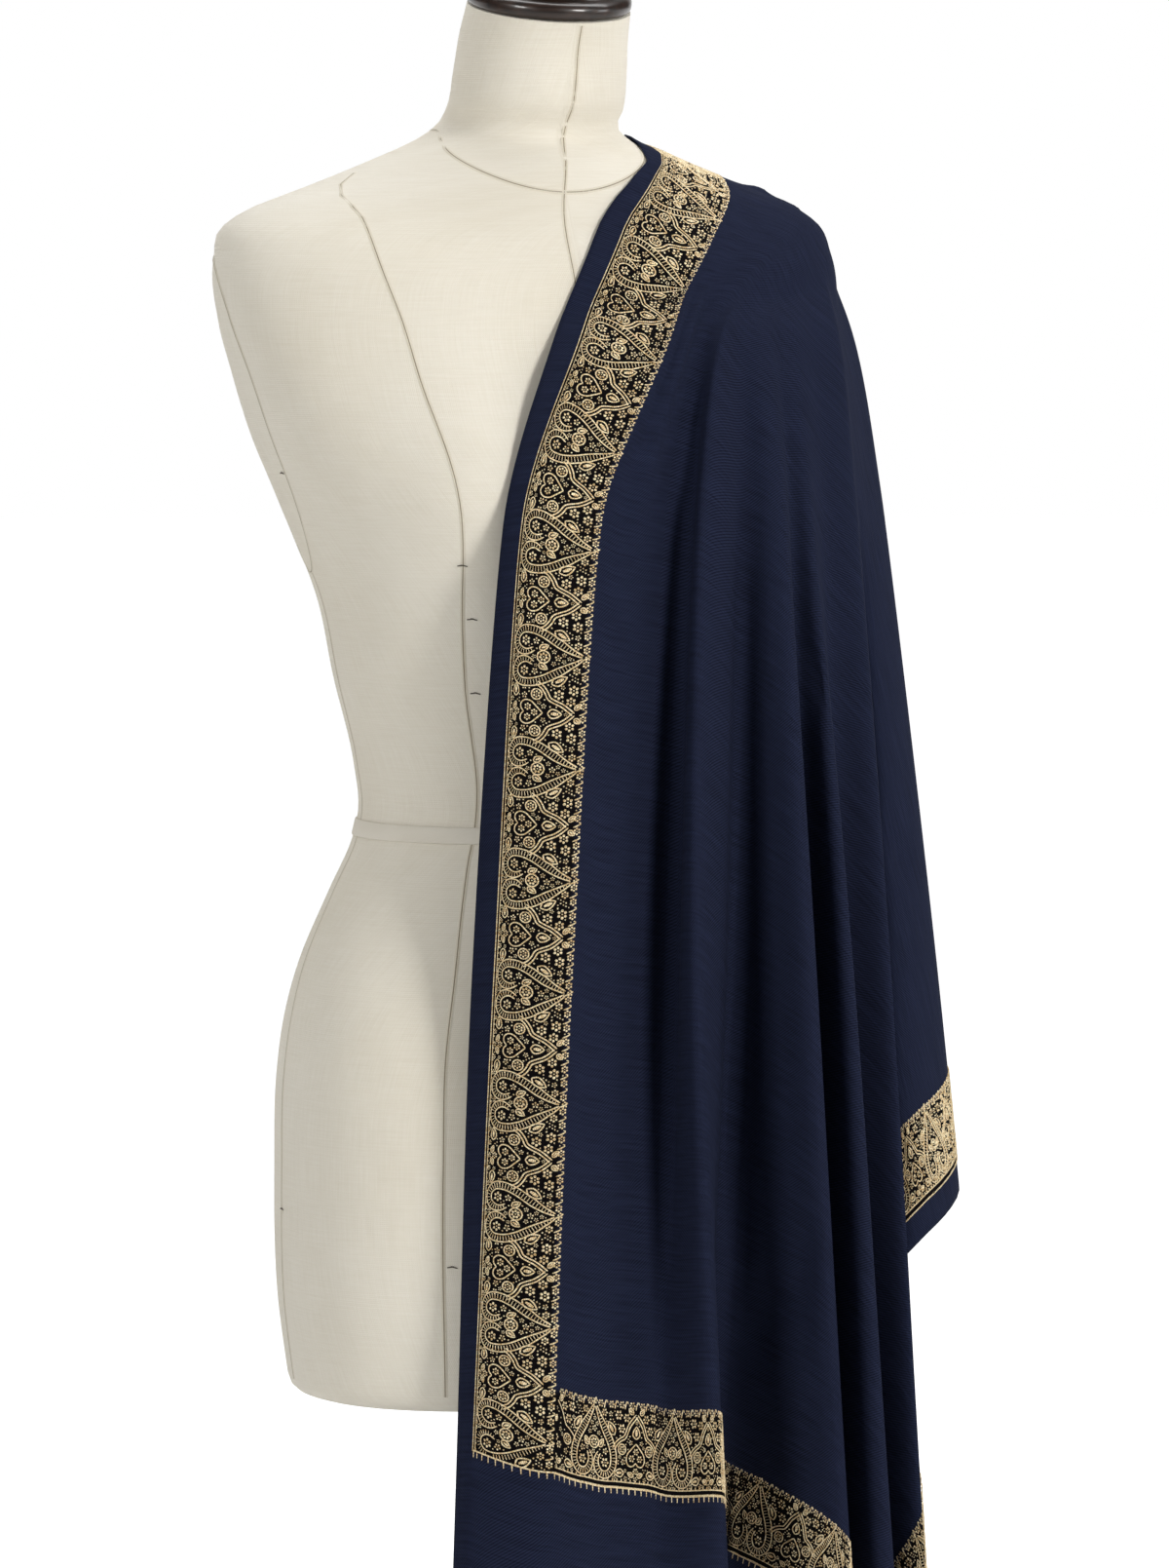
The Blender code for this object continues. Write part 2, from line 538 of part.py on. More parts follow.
def make_stretch(name, stole, first, last, finish):
    """One stretch of the stole's wall, between two fold coordinates."""
    marks = [first] + [x for x in stole.line if first < x < last] + [last]
    lines = [marks[0]]
    for a, b in zip(marks, marks[1:]):
        lines += list(np.linspace(a, b, STEPS_PER_FOLD + 1)[1:])
    corner = pi / 2 - atan2(FRONT_FALL, CLOTH_WIDTH - ON_SHOULDER)
    back_corner = pi / 2 + atan2(BACK_FALL, CLOTH_WIDTH - ON_SHOULDER)
    for angle in (corner, back_corner):
        if first < angle < last:
            nearest = int(np.argmin(np.abs(np.array(lines) - angle)))
            lines[nearest] = angle
    u, v = [], []
    for line in lines:
        start = TIP_HOLE if 0 < line < pi else GAP / 2
        for fall in rows_down(start, longest_fall(line)):
            place = on_cloth(line, fall)
            u.append(place[0])
            v.append(min(place[1], -GAP / 2) if last < pi else max(place[1], GAP / 2))
    u, v = np.array(u), np.array(v)
    outer = stole.at(u, v, WALL / 2)
    inner = stole.at(u, v, -WALL / 2)
    rows, columns = CURVED_STEPS + STRAIGHT_STEPS + 1, len(lines)
    count = rows * columns
    faces = []
    for c in range(columns - 1):
        for r in range(rows - 1):
            a, b = c * rows + r, (c + 1) * rows + r
            faces.append((a, b, b + 1, a + 1))
            faces.append((count + a, count + a + 1, count + b + 1, count + b))
    edge = [c * rows for c in range(columns)]
    edge += [(columns - 1) * rows + r for r in range(1, rows)]
    edge += [c * rows + rows - 1 for c in range(columns - 2, -1, -1)]
    edge += list(range(rows - 2, 0, -1))
    for a, b in zip(edge, edge[1:] + edge[:1]):
        faces.append((a, a + count, b + count, b))
    return add_object(name, np.concatenate([outer, inner]), faces, finish)


def main():
    clear_scene()
    canvas = material("canvas", (0.80, 0.76, 0.66), 0.85)
    tape = material("twill_tape", (0.86, 0.83, 0.76), 0.80)
    wood = material("turned_wood", (0.030, 0.020, 0.014), 0.35)
    steel = material("painted_steel", (0.020, 0.019, 0.018), 0.40)
    iron = material("painted_iron", (0.020, 0.019, 0.018), 0.50)
    pashmina = material("pashmina", (0.012, 0.016, 0.038), 0.90)
    make_torso(canvas)
    make_waist_tape(tape)
    turned("neck_cap", CAP_PROFILE, wood, sides=36, place=on_neck)
    turned("stand_pole", POLE_PROFILE, steel, sides=32)
    turned("stand_base", BASE_PROFILE, iron, sides=48)
    stole = Stole()
    make_stretch("shawl_front", stole, -ON_SHOULDER, pi / 2, pashmina)
    make_stretch("shawl_back", stole, pi / 2, pi + ON_SHOULDER, pashmina)


main()
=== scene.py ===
# %% [markdown]
# # A pashmina stole on a dress form
#
# A pashmina stole is one long rectangle of very fine goat-hair twill. This one is dyed midnight blue, and
# a border of couched gold thread runs all round it. It hangs over the left shoulder of a linen-covered
# dress form, and falls in deep folds before and behind.

# %% Load the frame
from math import cos, pi, radians, sin

import bmesh
import bpy
import numpy as np
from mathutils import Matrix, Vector


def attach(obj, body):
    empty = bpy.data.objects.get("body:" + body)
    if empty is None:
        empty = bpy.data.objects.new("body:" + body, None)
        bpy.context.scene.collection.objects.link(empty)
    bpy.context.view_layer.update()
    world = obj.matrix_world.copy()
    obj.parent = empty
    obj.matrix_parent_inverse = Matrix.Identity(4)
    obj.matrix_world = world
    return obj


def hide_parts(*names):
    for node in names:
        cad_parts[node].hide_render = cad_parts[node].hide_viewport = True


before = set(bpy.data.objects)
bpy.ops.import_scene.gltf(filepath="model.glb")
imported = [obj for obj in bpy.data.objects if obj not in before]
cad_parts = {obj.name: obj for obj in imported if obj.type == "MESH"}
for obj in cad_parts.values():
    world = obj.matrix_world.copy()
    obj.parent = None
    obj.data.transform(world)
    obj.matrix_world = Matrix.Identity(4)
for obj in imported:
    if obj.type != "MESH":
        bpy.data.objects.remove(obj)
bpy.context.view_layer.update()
print("solids:", sorted(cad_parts))

# %% [markdown]
# ## The camera
#
# A long lens from five metres keeps the figure's proportions true. It looks at the form from a little
# above the waist, level with the neck, so it is pitched down by four degrees. The view cuts off the top of
# the neck cap and everything below the hips.

# %% Camera
EYE = Vector((0.0297, -5.0, 1.400))
AIM = Vector((0.0297, 0.0, 1.045))
VIEW_HEIGHT = 0.9187             # how much height the view takes in at the aim, in metres
SENSOR = 36.0


def in_scene(name, data, place=(0, 0, 0), aim=None):
    """An object in the scene, which looks at its aim if it has one."""
    made = bpy.data.objects.new(name, data)
    bpy.context.scene.collection.objects.link(made)
    made.location = place
    if aim is not None:
        made.rotation_euler = (Vector(aim) - Vector(place)).to_track_quat("-Z", "Y").to_euler()
    return made


camera = in_scene("camera", bpy.data.cameras.new("camera"), EYE, AIM)
camera.data.sensor_fit = "VERTICAL"
camera.data.sensor_height = SENSOR
camera.data.lens = SENSOR * (AIM - EYE).length / VIEW_HEIGHT
bpy.context.scene.camera = camera
print(f"lens {camera.data.lens:.0f} mm")

# %% [markdown]
# ## Helpers for finishes
#
# Cloth makers and paint makers give colours as sRGB hex values, but Blender's shaders reckon in linear
# light, so one function turns the one into the other. The rest add shader nodes with their settings and
# links, so that a finish reads as a short list of steps.

# %% Colours and nodes
WAVE_FOR_ONE_BAND = pi / 10      # the wave texture's scale at which one unit holds one band


def linear(hex_colour):
    """A hex colour as the four linear values that a shader takes."""
    parts = [int(hex_colour[k:k + 2], 16) / 255 for k in (0, 2, 4)]
    return (*[c / 12.92 if c <= 0.04045 else ((c + 0.055) / 1.055) ** 2.4 for c in parts], 1.0)


def wire(node, **sockets):
    """Links each socket that is given another node's output, and sets any other. n0 is the first socket."""
    for name, value in sockets.items():
        numbered = name[0] == "n" and name[1:].isdigit()
        socket = node.inputs[int(name[1:]) if numbered else name.replace("_", " ")]
        if isinstance(value, bpy.types.NodeSocket):
            node.id_data.links.new(value, socket)
        else:
            socket.default_value = value


def add(tree, kind, settings=None, **sockets):
    """Adds a node, and wires it."""
    new = tree.nodes.new("ShaderNode" + kind)
    for name, value in (settings or {}).items():
        setattr(new, name, value)
    wire(new, **sockets)
    return new


class Finish:
    """A material with a Principled shader, and short ways to add the nodes that feed it."""

    def __init__(self, name, **sockets):
        self.material = bpy.data.materials.new(name)
        self.material.use_nodes = True
        self.tree = self.material.node_tree
        self.shader = self.tree.nodes["Principled BSDF"]
        self.colour = None
        self.below = {}
        wire(self.shader, **sockets)

    def stored(self, name):
        """The vectors that make_piece stored on the points under this name."""
        return add(self.tree, "Attribute", {"attribute_name": name}).outputs["Vector"]

    def mapped(self, place, **how):
        return add(self.tree, "Mapping", Vector=place, **how).outputs[0]

    def reckon(self, operation, *terms):
        """A sum of one, two or three terms."""
        sockets = {f"n{k}": term for k, term in enumerate(terms)}
        return add(self.tree, "Math", {"operation": operation}, **sockets).outputs[0]

    def between(self, value, low, high):
        """0 where a value is at the low end of a range, and 1 at its high end."""
        return add(self.tree, "MapRange", Value=value, From_Min=low, From_Max=high).outputs[0]

    def waves(self, place, direction, spacing):
        """Bands across a direction, one for each thread of a weave."""
        settings = {"wave_type": "BANDS", "bands_direction": direction, "wave_profile": "SIN"}
        return add(self.tree, "TexWave", settings, Vector=self.mapped(place, Scale=(1 / spacing,) * 3),
                   Scale=WAVE_FOR_ONE_BAND, Distortion=0.6, Detail=1.0, Detail_Scale=0.4).outputs["Fac"]

    def noise(self, place, size, detail=3.0):
        """Noise whose grain has a given size in metres in each direction."""
        scaled = self.mapped(place, Scale=tuple(1 / s for s in size))
        return add(self.tree, "TexNoise", Vector=scaled, Scale=1.0, Detail=detail).outputs["Fac"]

    def coloured(self, factor, dark, light):
        """Sets the colour, from dark at 0 to light at 1. Each is a hex colour or another node's output."""
        dark, light = [linear(end) if isinstance(end, str) else end for end in (dark, light)]
        mix = add(self.tree, "Mix", {"data_type": "RGBA"}, Factor=factor, A=dark, B=light)
        self.colour = mix.outputs["Result"]
        wire(self.shader, Base_Color=self.colour)

    def bumped(self, height, strength, distance):
        """Raises the surface by a height, over any bump that it has already."""
        bump = add(self.tree, "Bump", Strength=strength, Distance=distance, Height=height, **self.below)
        self.below = {"Normal": bump.outputs[0]}
        wire(self.shader, **self.below)


print(f"the grey 808080 is {linear('808080')[0]:.3f} in linear light")


# %% [markdown]
# ## Helpers for shapes
#
# Every shape here starts as numbers in an array, worked out from a few real sizes. One function makes a
# piece from points and faces, gives it its finish, and lets it ride on the frame. Another draws a smooth
# curve through a short table.

# %% Arrays
def joined(*parts):
    """Arrays or numbers side by side, as the last axis of one array."""
    return np.stack(np.broadcast_arrays(*parts), axis=-1)


def unit(vectors):
    """Vectors brought to a length of one."""
    return vectors / (np.linalg.norm(vectors, axis=-1, keepdims=True) + 1e-12)


def run_along(path):
    """How far along a path each of its points is."""
    return np.concatenate([[0], np.cumsum(np.linalg.norm(np.diff(path, axis=0), axis=1))])


def between_ends(t, start, end, start_slope, end_slope):
    """A curve from start to end, for t from 0 to 1, that leaves and arrives at the given slopes."""
    ends = start * (1 + 2 * t) * (1 - t) ** 2 + end * t * t * (3 - 2 * t)
    return ends + t * (1 - t) * (start_slope * (1 - t) - end_slope * t)


def through(x, knots, values):
    """A smooth curve through a table's values, read at x and held level past its ends."""
    knots, values = np.asarray(knots, float), np.asarray(values, float)
    slope = np.gradient(values, knots, axis=0)
    x = np.clip(x, knots[0], knots[-1])
    i = np.clip(np.searchsorted(knots, x) - 1, 0, len(knots) - 2)
    step = knots[i + 1] - knots[i]
    t = (x - knots[i]) / step
    spread = (Ellipsis,) + (None,) * (values.ndim - 1)
    t, step = t[spread], step[spread]
    return between_ends(t, values[i], values[i + 1], step * slope[i], step * slope[i + 1])


print("halfway along a curve through 0, 1 and 4:", through(1.5, [0, 1, 2], [0, 1, 4]))


# %% Pieces
def make_piece(name, points, faces, finish, slot, **places):
    """An object from points and faces. places are vectors stored on its points for its finish to read."""
    mesh = bpy.data.meshes.new(name)
    faces = faces.tolist() if isinstance(faces, np.ndarray) else faces
    mesh.from_pydata(np.reshape(points, (-1, 3)).tolist(), [], faces)
    for label, values in places.items():
        stored = mesh.attributes.new(label, "FLOAT_VECTOR", "POINT")
        stored.data.foreach_set("vector", np.asarray(values, np.float32).ravel())
    mesh.shade_smooth()
    mesh.materials.append(finish.material)
    piece = in_scene(name, mesh)
    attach(piece, "root")
    return piece


def grid_faces(rows, columns, closed=False, wrapped=False):
    """The four-sided faces of a grid of points, stored row by row.

    closed joins the last column to the first, and wrapped joins the last row to the first.
    """
    down, over = np.arange(rows if wrapped else rows - 1), np.arange(columns if closed else columns - 1)
    r, c = np.meshgrid(down, over, indexing="ij")
    here, below, beside = r * columns, (r + 1) % rows * columns, (c + 1) % columns
    return joined(here + c, here + beside, below + beside, below + c).reshape(-1, 4)


def weld(piece, reach):
    """Joins a piece's points that are within reach of each other, and turns its faces outward."""
    work = bmesh.new()
    work.from_mesh(piece.data)
    bmesh.ops.remove_doubles(work, verts=work.verts, dist=reach)
    bmesh.ops.recalc_face_normals(work, faces=work.faces)
    work.to_mesh(piece.data)
    work.free()


def triangles(piece):
    """How many triangles a piece has."""
    return sum(len(face.vertices) - 2 for face in piece.data.polygons)


print("a grid of 3 by 4 points has", len(grid_faces(3, 4)), "faces")


# %% [markdown]
# ## The dress form
#
# A tailor's dress form is padded papier-mache with a cover of linen canvas, stretched tight. It is smooth
# and nearly symmetric, so it can be described as level rings: how far each reaches to the side, to the
# front and to the back, and how square its outline is. The bust is a soft swell added in front. The same
# description serves twice: it makes the form, and it tells the cloth where it may not go.

# %% The form's sizes
FORM_TURN = radians(20.0)
FORM_BOTTOM = 0.690
NECK_TOP = 1.498
NECK_TILT = radians(12.0)
NECK_TILT_START = 1.440
FORM_RINGS = np.array([
    # height, half breadth, front, back, squareness, lean
    (0.690, 0.1450, 0.110, 0.103, 2.3, 0.000),
    (0.748, 0.1521, 0.118, 0.112, 2.3, 0.000),
    (0.824, 0.1532, 0.120, 0.118, 2.3, 0.000),
    (0.877, 0.1520, 0.118, 0.115, 2.3, 0.000),
    (0.911, 0.1475, 0.114, 0.110, 2.3, 0.000),
    (0.942, 0.1399, 0.109, 0.104, 2.2, 0.000),
    (0.985, 0.1218, 0.100, 0.093, 2.1, 0.000),
    (1.016, 0.1075, 0.093, 0.085, 2.1, 0.000),
    (1.030, 0.1045, 0.091, 0.083, 2.1, 0.000),
    (1.059, 0.1072, 0.094, 0.084, 2.1, 0.000),
    (1.109, 0.1187, 0.103, 0.090, 2.2, 0.000),
    (1.158, 0.1292, 0.113, 0.097, 2.2, 0.000),
    (1.188, 0.1413, 0.119, 0.100, 2.2, 0.000),
    (1.219, 0.1542, 0.122, 0.103, 2.3, 0.000),
    (1.249, 0.1660, 0.123, 0.100, 2.4, 0.004),
    (1.286, 0.1770, 0.118, 0.092, 2.4, 0.010),
    (1.318, 0.1852, 0.114, 0.081, 2.3, 0.016),
    (1.354, 0.1872, 0.104, 0.067, 2.1, 0.022),
    (1.372, 0.1812, 0.095, 0.057, 1.9, 0.025),
    (1.382, 0.1650, 0.089, 0.052, 1.8, 0.025),
    (1.392, 0.1380, 0.084, 0.049, 1.7, 0.024),
    (1.402, 0.1113, 0.080, 0.048, 1.7, 0.023),
    (1.412, 0.0860, 0.075, 0.047, 1.75, 0.023),
    (1.420, 0.0664, 0.068, 0.047, 1.85, 0.023),
    (1.429, 0.0532, 0.062, 0.046, 2.0, 0.016),
    (1.438, 0.0518, 0.056, 0.048, 2.0, 0.001),
    (1.459, 0.0506, 0.052, 0.047, 2.0, -0.010),
    (1.478, 0.0492, 0.050, 0.046, 2.0, -0.016),
    (1.498, 0.0474, 0.048, 0.046, 2.0, -0.026),
])
BUST = dict(out=0.020, apart=0.082, wide=0.045, height=1.215, tall=0.055)
FARTHEST = 0.4                   # metres: more than any point of the form is from its axis
print(f"the form is {2 * FORM_RINGS[:, 1].max():.3f} m across at its widest")

# %% The form's surface
def turned(points, angle):
    """Points turned about the upright axis."""
    c, s = cos(angle), sin(angle)
    x, y, z = np.moveaxis(points, -1, 0)
    return joined(x * c - y * s, x * s + y * c, z)


def into_form(points):
    """World points in the form's own frame, with its front along -Y."""
    return turned(points, -FORM_TURN)


def out_of_form(points):
    """The form's own points in the world."""
    return turned(points, FORM_TURN)


def bust_swell(x, z):
    aside = (np.abs(x) - BUST["apart"]) / BUST["wide"]
    up = (z - BUST["height"]) / BUST["tall"]
    return BUST["out"] * np.exp(-aside ** 2 - up ** 2)


def form_level(points):
    """1 on the form's surface, less inside it and more outside."""
    x, y, z = np.moveaxis(into_form(points), -1, 0)
    rings = through(z, FORM_RINGS[:, 0], FORM_RINGS[:, 1:])
    breadth, front, back, square, lean = np.moveaxis(rings, -1, 0)
    y = y - lean
    depth = np.where(y < 0, front + bust_swell(x, z), back)
    return (np.abs(x / breadth) ** square + np.abs(y / depth) ** square) ** (1 / square)


def distance_to_form(points):
    """A close estimate of the distance from the form, and the way out from it."""
    h = 1e-4
    ahead_less_behind = [form_level(points + h * axis) - form_level(points - h * axis) for axis in np.eye(3)]
    slope = joined(*ahead_less_behind) / (2 * h)
    steep = np.linalg.norm(slope, axis=-1) + 1e-9
    return (form_level(points) - 1) / steep, slope / steep[..., None]


def on_form(height, angle, lift=0.0):
    """The place on the cover at heights and angles round the form, 0 at its front and 90 at its left side."""
    height, angle = np.broadcast_arrays(np.asarray(height, float), radians(1) * np.asarray(angle, float))
    way = joined(np.sin(angle), -np.cos(angle), 0)
    middle = joined(0, through(height, FORM_RINGS[:, 0], FORM_RINGS[:, 5]), height)
    low, high = np.zeros(height.shape), np.full(height.shape, FARTHEST)
    for _ in range(26):
        half = (low + high) / 2
        inside = form_level(out_of_form(middle + half[..., None] * way)) < 1
        low, high = np.where(inside, half, low), np.where(inside, high, half)
    place = middle + (low + lift)[..., None] * way
    share = np.clip((height - NECK_TILT_START) / (NECK_TOP - NECK_TILT_START), 0, 1)
    place[..., 2] += share * (place[..., 1] - FORM_RINGS[-1, 5]) * np.tan(NECK_TILT)
    return out_of_form(place)


print("front of the neck's top:", on_form(NECK_TOP, 0).round(3))

# %% [markdown]
# ## Linen canvas
#
# The cover is unbleached linen canvas in a plain weave: matt, warm white, with the odd thick thread. Two
# crossed waves would draw each thread at its true half millimetre, but that is finer than the picture can
# show. They are drawn at about a millimetre instead, so that a trace of the weave still reads. Stretched
# noise in both directions gives the slubs, and broad noise gives the slight yellowing of an old cover.

# %% Linen canvas
CANVAS_THREAD = 0.0011           # metres between threads: twice the real spacing, or the weave is lost
SLUB_LENGTH = 0.030
YELLOWING_SIZE = (0.11, 0.16, 1.0)


def linen_canvas(name, light, dark):
    """Unbleached plain-weave linen: rough, with slubs both ways and uneven yellowing."""
    linen = Finish(name, Roughness=0.92, Specular_IOR_Level=0.25, Sheen_Weight=0.15, Sheen_Roughness=0.6)
    place = linen.stored("cover_place")
    weave = linen.reckon("MULTIPLY", *[linen.waves(place, way, CANVAS_THREAD) for way in "XY"])
    upright = linen.noise(place, (CANVAS_THREAD, SLUB_LENGTH, 1.0))
    level = linen.noise(place, (SLUB_LENGTH, CANVAS_THREAD, 1.0))
    slubs = linen.reckon("ADD", upright, level)
    tone = linen.reckon("MULTIPLY_ADD", slubs, 0.55, linen.noise(place, YELLOWING_SIZE, 2.0))
    linen.coloured(linen.between(tone, 0.75, 1.35), dark, light)
    linen.bumped(linen.reckon("MULTIPLY_ADD", slubs, 0.9, weave), 0.35, 0.0004)
    return linen


canvas = linen_canvas("linen canvas", "EEE9DD", "E3DCCC")
print("finish:", canvas.material.name)

# %% [markdown]
# ## The torso
#
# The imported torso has 42 sides, which is right for a solid that has to be light. Its outline would show
# corners close up, so a finer one stands for it here, from the same rings. Each point also keeps its place
# on the cover, in metres round it and up it, so that the threads run level and upright everywhere.

# %% The torso
TORSO_SIDES = 168
RING_STEP = 0.0055
EDGE_RADIUS = 0.010              # the rounding of the torso's lower edge
EDGE_STEPS = (0, 0.15, 0.5)      # where rings lie on that rounding, as shares of its height
SHARP_ANGLE = radians(50)


def make_torso():
    """The linen-covered torso, closed flat below and at the neck's top."""
    heights = np.arange(FORM_BOTTOM, NECK_TOP, RING_STEP)
    heights = np.concatenate([FORM_BOTTOM + EDGE_RADIUS * np.array(EDGE_STEPS), heights[2:], [NECK_TOP]])
    rise = np.clip((heights - FORM_BOTTOM) / EDGE_RADIUS, 0, 1)
    pull = -EDGE_RADIUS * (1 - np.sqrt(1 - (1 - rise) ** 2))
    angles = np.linspace(0, 360, TORSO_SIDES, endpoint=False)
    points = on_form(heights[:, None], angles[None], pull[:, None])
    step = np.linalg.norm(np.roll(points, -1, axis=1) - points, axis=-1)
    round_it = np.cumsum(step, axis=1) - step
    round_it -= round_it[:, TORSO_SIDES // 2, None]
    faces = grid_faces(*points.shape[:2], closed=True).tolist()
    last = (len(heights) - 1) * TORSO_SIDES
    faces += [list(range(TORSO_SIDES))[::-1], list(range(last, last + TORSO_SIDES))]
    place = joined(round_it, points[..., 2], 0)
    piece = make_piece("torso_cover", points, faces, canvas, "canvas", cover_place=place)
    piece.data.set_sharp_from_angle(angle=SHARP_ANGLE)
    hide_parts("form_torso")
    return piece


print("torso:", triangles(make_torso()), "triangles")

# %% [markdown]
# ## The cover's seams
#
# The canvas is cut in panels. A seam runs down the middle of the front and of the back, one curves over
# each bust and hip, one down each side, one round the foot of the neck, and one round each oval arm plate.
# Each shows as a fine dark line between two turned edges that stand up a third of a millimetre: the line is
# painted shade in the gap. A narrow ribbon with that profile is laid along each curve. Small cross stitches
# mark the fitting points.

# %% Seam sizes
PRINCESS = [  # height, distance from the middle
    (1.404, 0.1040), (1.394, 0.1205), (1.376, 0.1185), (1.349, 0.1160), (1.317, 0.1088), (1.280, 0.1022),
    (1.231, 0.0913), (1.187, 0.0831), (1.111, 0.0727), (1.025, 0.0630), (1.005, 0.0680), (0.943, 0.0809),
    (0.899, 0.0887), (0.833, 0.0916), (0.762, 0.0914), (0.700, 0.0880),
]
FRONT_SEAM = [  # height, angle round the form
    (1.498, 4.0), (1.437, 3.5), (1.400, -0.8), (1.378, -3.2), (1.330, -3.4), (1.200, -1.5), (1.000, 0.0),
    (0.700, 0.0),
]
SEAM_TOPS = dict(front=NECK_TOP - 0.002, back=1.420, bust=1.402)
SEAM_FOOT = 0.700
SIDE_SEAM_ANGLE = 93.0
NECK_SEAM = dict(front=1.391, side=1.427, back=1.431)
ARM_PLATE = dict(height=1.262, tall=0.091, depth=0.030, back=0.011)
SEAM_PROFILE = [  # distance from the seam's line, lift off the cover, both in millimetres
    (-1.50, 0.02), (-0.80, 0.30), (-0.30, 0.26), (0.00, 0.02), (0.30, 0.26), (0.80, 0.30), (1.50, 0.02),
]
FITTING_MARKS = [  # height, angle round the form
    (1.2297, -85.3), (1.1792, -36.9), (1.1479, -36.4), (1.1048, -37.3), (0.7765, -39.8), (0.8004, -92.5),
    (1.2297, 85.3), (0.8004, 92.5),
]
print("fitting marks:", len(FITTING_MARKS))

# %% Seam curves
def angle_round_form(height, x, side_front=True):
    """The angle round the form of the place on its front, or back, that lies x to the side of its middle."""
    angles = np.linspace(0 if side_front else 180, 90, 181)
    reach = into_form(on_form(height, angles))[:, 0]
    return float(np.interp(abs(x), reach, angles)) * (1 if x >= 0 else -1)


def seam_curves():
    """Each seam as a name and the heights and angles that it passes through."""
    curves = {}
    down = np.linspace(SEAM_TOPS["front"], SEAM_FOOT, 110)
    curves["seam_front"] = (down, through(down, *np.array(FRONT_SEAM)[::-1].T))
    down = np.linspace(SEAM_TOPS["back"], SEAM_FOOT, 90)
    curves["seam_back"] = (down, 0 * down + 180)
    down = np.linspace(SEAM_TOPS["bust"], SEAM_FOOT, 110)
    out = through(down, *np.array(PRINCESS)[::-1].T)
    for side, label in ((1, "left"), (-1, "right")):
        for part, in_front in (("bust", True), ("shoulder_blade", False)):
            angles = [angle_round_form(z, side * x, in_front) for z, x in zip(down, out)]
            curves[f"seam_{part}_{label}"] = (down, np.array(angles))
        below = np.linspace(ARM_PLATE["height"] - ARM_PLATE["tall"], SEAM_FOOT, 80)
        curves["seam_side_" + label] = (below, side * (SIDE_SEAM_ANGLE + 0 * below))
        turn = np.linspace(0, 2 * pi, 91)
        height = ARM_PLATE["height"] + ARM_PLATE["tall"] * np.cos(turn)
        depth = ARM_PLATE["back"] + ARM_PLATE["depth"] * np.sin(turn)
        breadth = through(height, FORM_RINGS[:, 0], FORM_RINGS[:, 1])
        curves["seam_arm_" + label] = (height, side * (90 + np.degrees(np.arctan2(depth, breadth))))
    angle = np.linspace(-180, 180, 145)
    sideways = np.sin(radians(1) * angle) ** 2
    middle = np.where(np.abs(angle) < 90, NECK_SEAM["front"], NECK_SEAM["back"])
    curves["seam_neck"] = (middle + (NECK_SEAM["side"] - middle) * sideways, angle)
    return curves


def lay_on_cover(name, height, angle, profile, finish):
    """A ribbon with the given profile (millimetres) along a curve on the cover."""
    path = on_form(height, angle)
    outward = distance_to_form(path)[1]
    aside = np.cross(unit(np.gradient(path, axis=0)), outward)
    across, lift = np.array(profile).T[..., None] / 1000
    points = path[:, None] + aside[:, None] * across + outward[:, None] * lift
    place = joined(across[:, 0], run_along(path)[:, None], 0)
    return make_piece(name, points, grid_faces(*points.shape[:2]), finish, "canvas", cover_place=place)


def seam_finish():
    """The turned canvas edges, with painted shade in the gap between them."""
    linen = linen_canvas("seamed canvas", "E4DECF", "D6CDBA")
    across = add(linen.tree, "SeparateXYZ", Vector=linen.stored("cover_place")).outputs["X"]
    past_shaded_gap = linen.between(linen.reckon("ABSOLUTE", across), 0.00010, 0.00045)
    # painted shade: the gap between the turned edges is darkened
    linen.coloured(past_shaded_gap, "8C8069", linen.colour)
    return linen


seamed = seam_finish()
for seam_name, (seam_height, seam_angle) in seam_curves().items():
    lay_on_cover(seam_name, seam_height, seam_angle, SEAM_PROFILE, seamed)
print("seams laid:", len(seam_curves()))

# %% Fitting marks
MARK_LENGTH = 6.0                # millimetres
MARK_POINTS = 5
MARK_PROFILE = [(-0.35, 0.30), (0.00, 0.75), (0.35, 0.30)]  # millimetres, as the seams' profile
MARK_STROKES = [(radians(8), -0.5, 0.15), (radians(-14), -0.15, 0.5)]  # tilt, and start and end as shares


def make_fitting_marks():
    """Short dark stitches across the seams, joined as one piece."""
    mark_thread = Finish("waxed linen thread", Base_Color=linear("4A4034"), Roughness=0.7)
    points, faces = [], []
    for height, angle in FITTING_MARKS:
        centre = on_form(height, angle)
        outward = distance_to_form(centre)[1]
        level = unit(np.cross([0, 0, 1.0], outward))
        up = np.cross(outward, level)
        for tilt, start, end in MARK_STROKES:
            way = level * cos(tilt) + up * sin(tilt)
            aside = np.cross(outward, way)
            faces.append(grid_faces(MARK_POINTS, len(MARK_PROFILE)) + len(points))
            for share in np.linspace(start, end, MARK_POINTS):
                for across, lift in MARK_PROFILE:
                    offset = way * share * MARK_LENGTH + aside * across + outward * lift
                    points.append(centre + offset / 1000)
    return make_piece("fitting_marks", points, np.concatenate(faces), mark_thread, "canvas")


print("fitting marks:", triangles(make_fitting_marks()), "triangles")

# %% [markdown]
# ## The waist tape
#
# A cotton twill tape is pinned round the waist, so that a dressmaker can find it by touch. It is ten
# millimetres wide and stands a millimetre proud, with round edges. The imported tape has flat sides, and this
# one follows the finer torso.

# %% The waist tape
WAIST = 1.0215
TAPE_HEIGHT = 0.0096
TAPE_LENGTH = 0.64
TAPE_RIB = 0.0012
TAPE_SECTION = [  # share of the tape's height, lift off the cover
    (-0.5, 0.0003), (-0.5, 0.0008), (-0.42, 0.0012), (0.42, 0.0012), (0.5, 0.0008), (0.5, 0.0003),
]


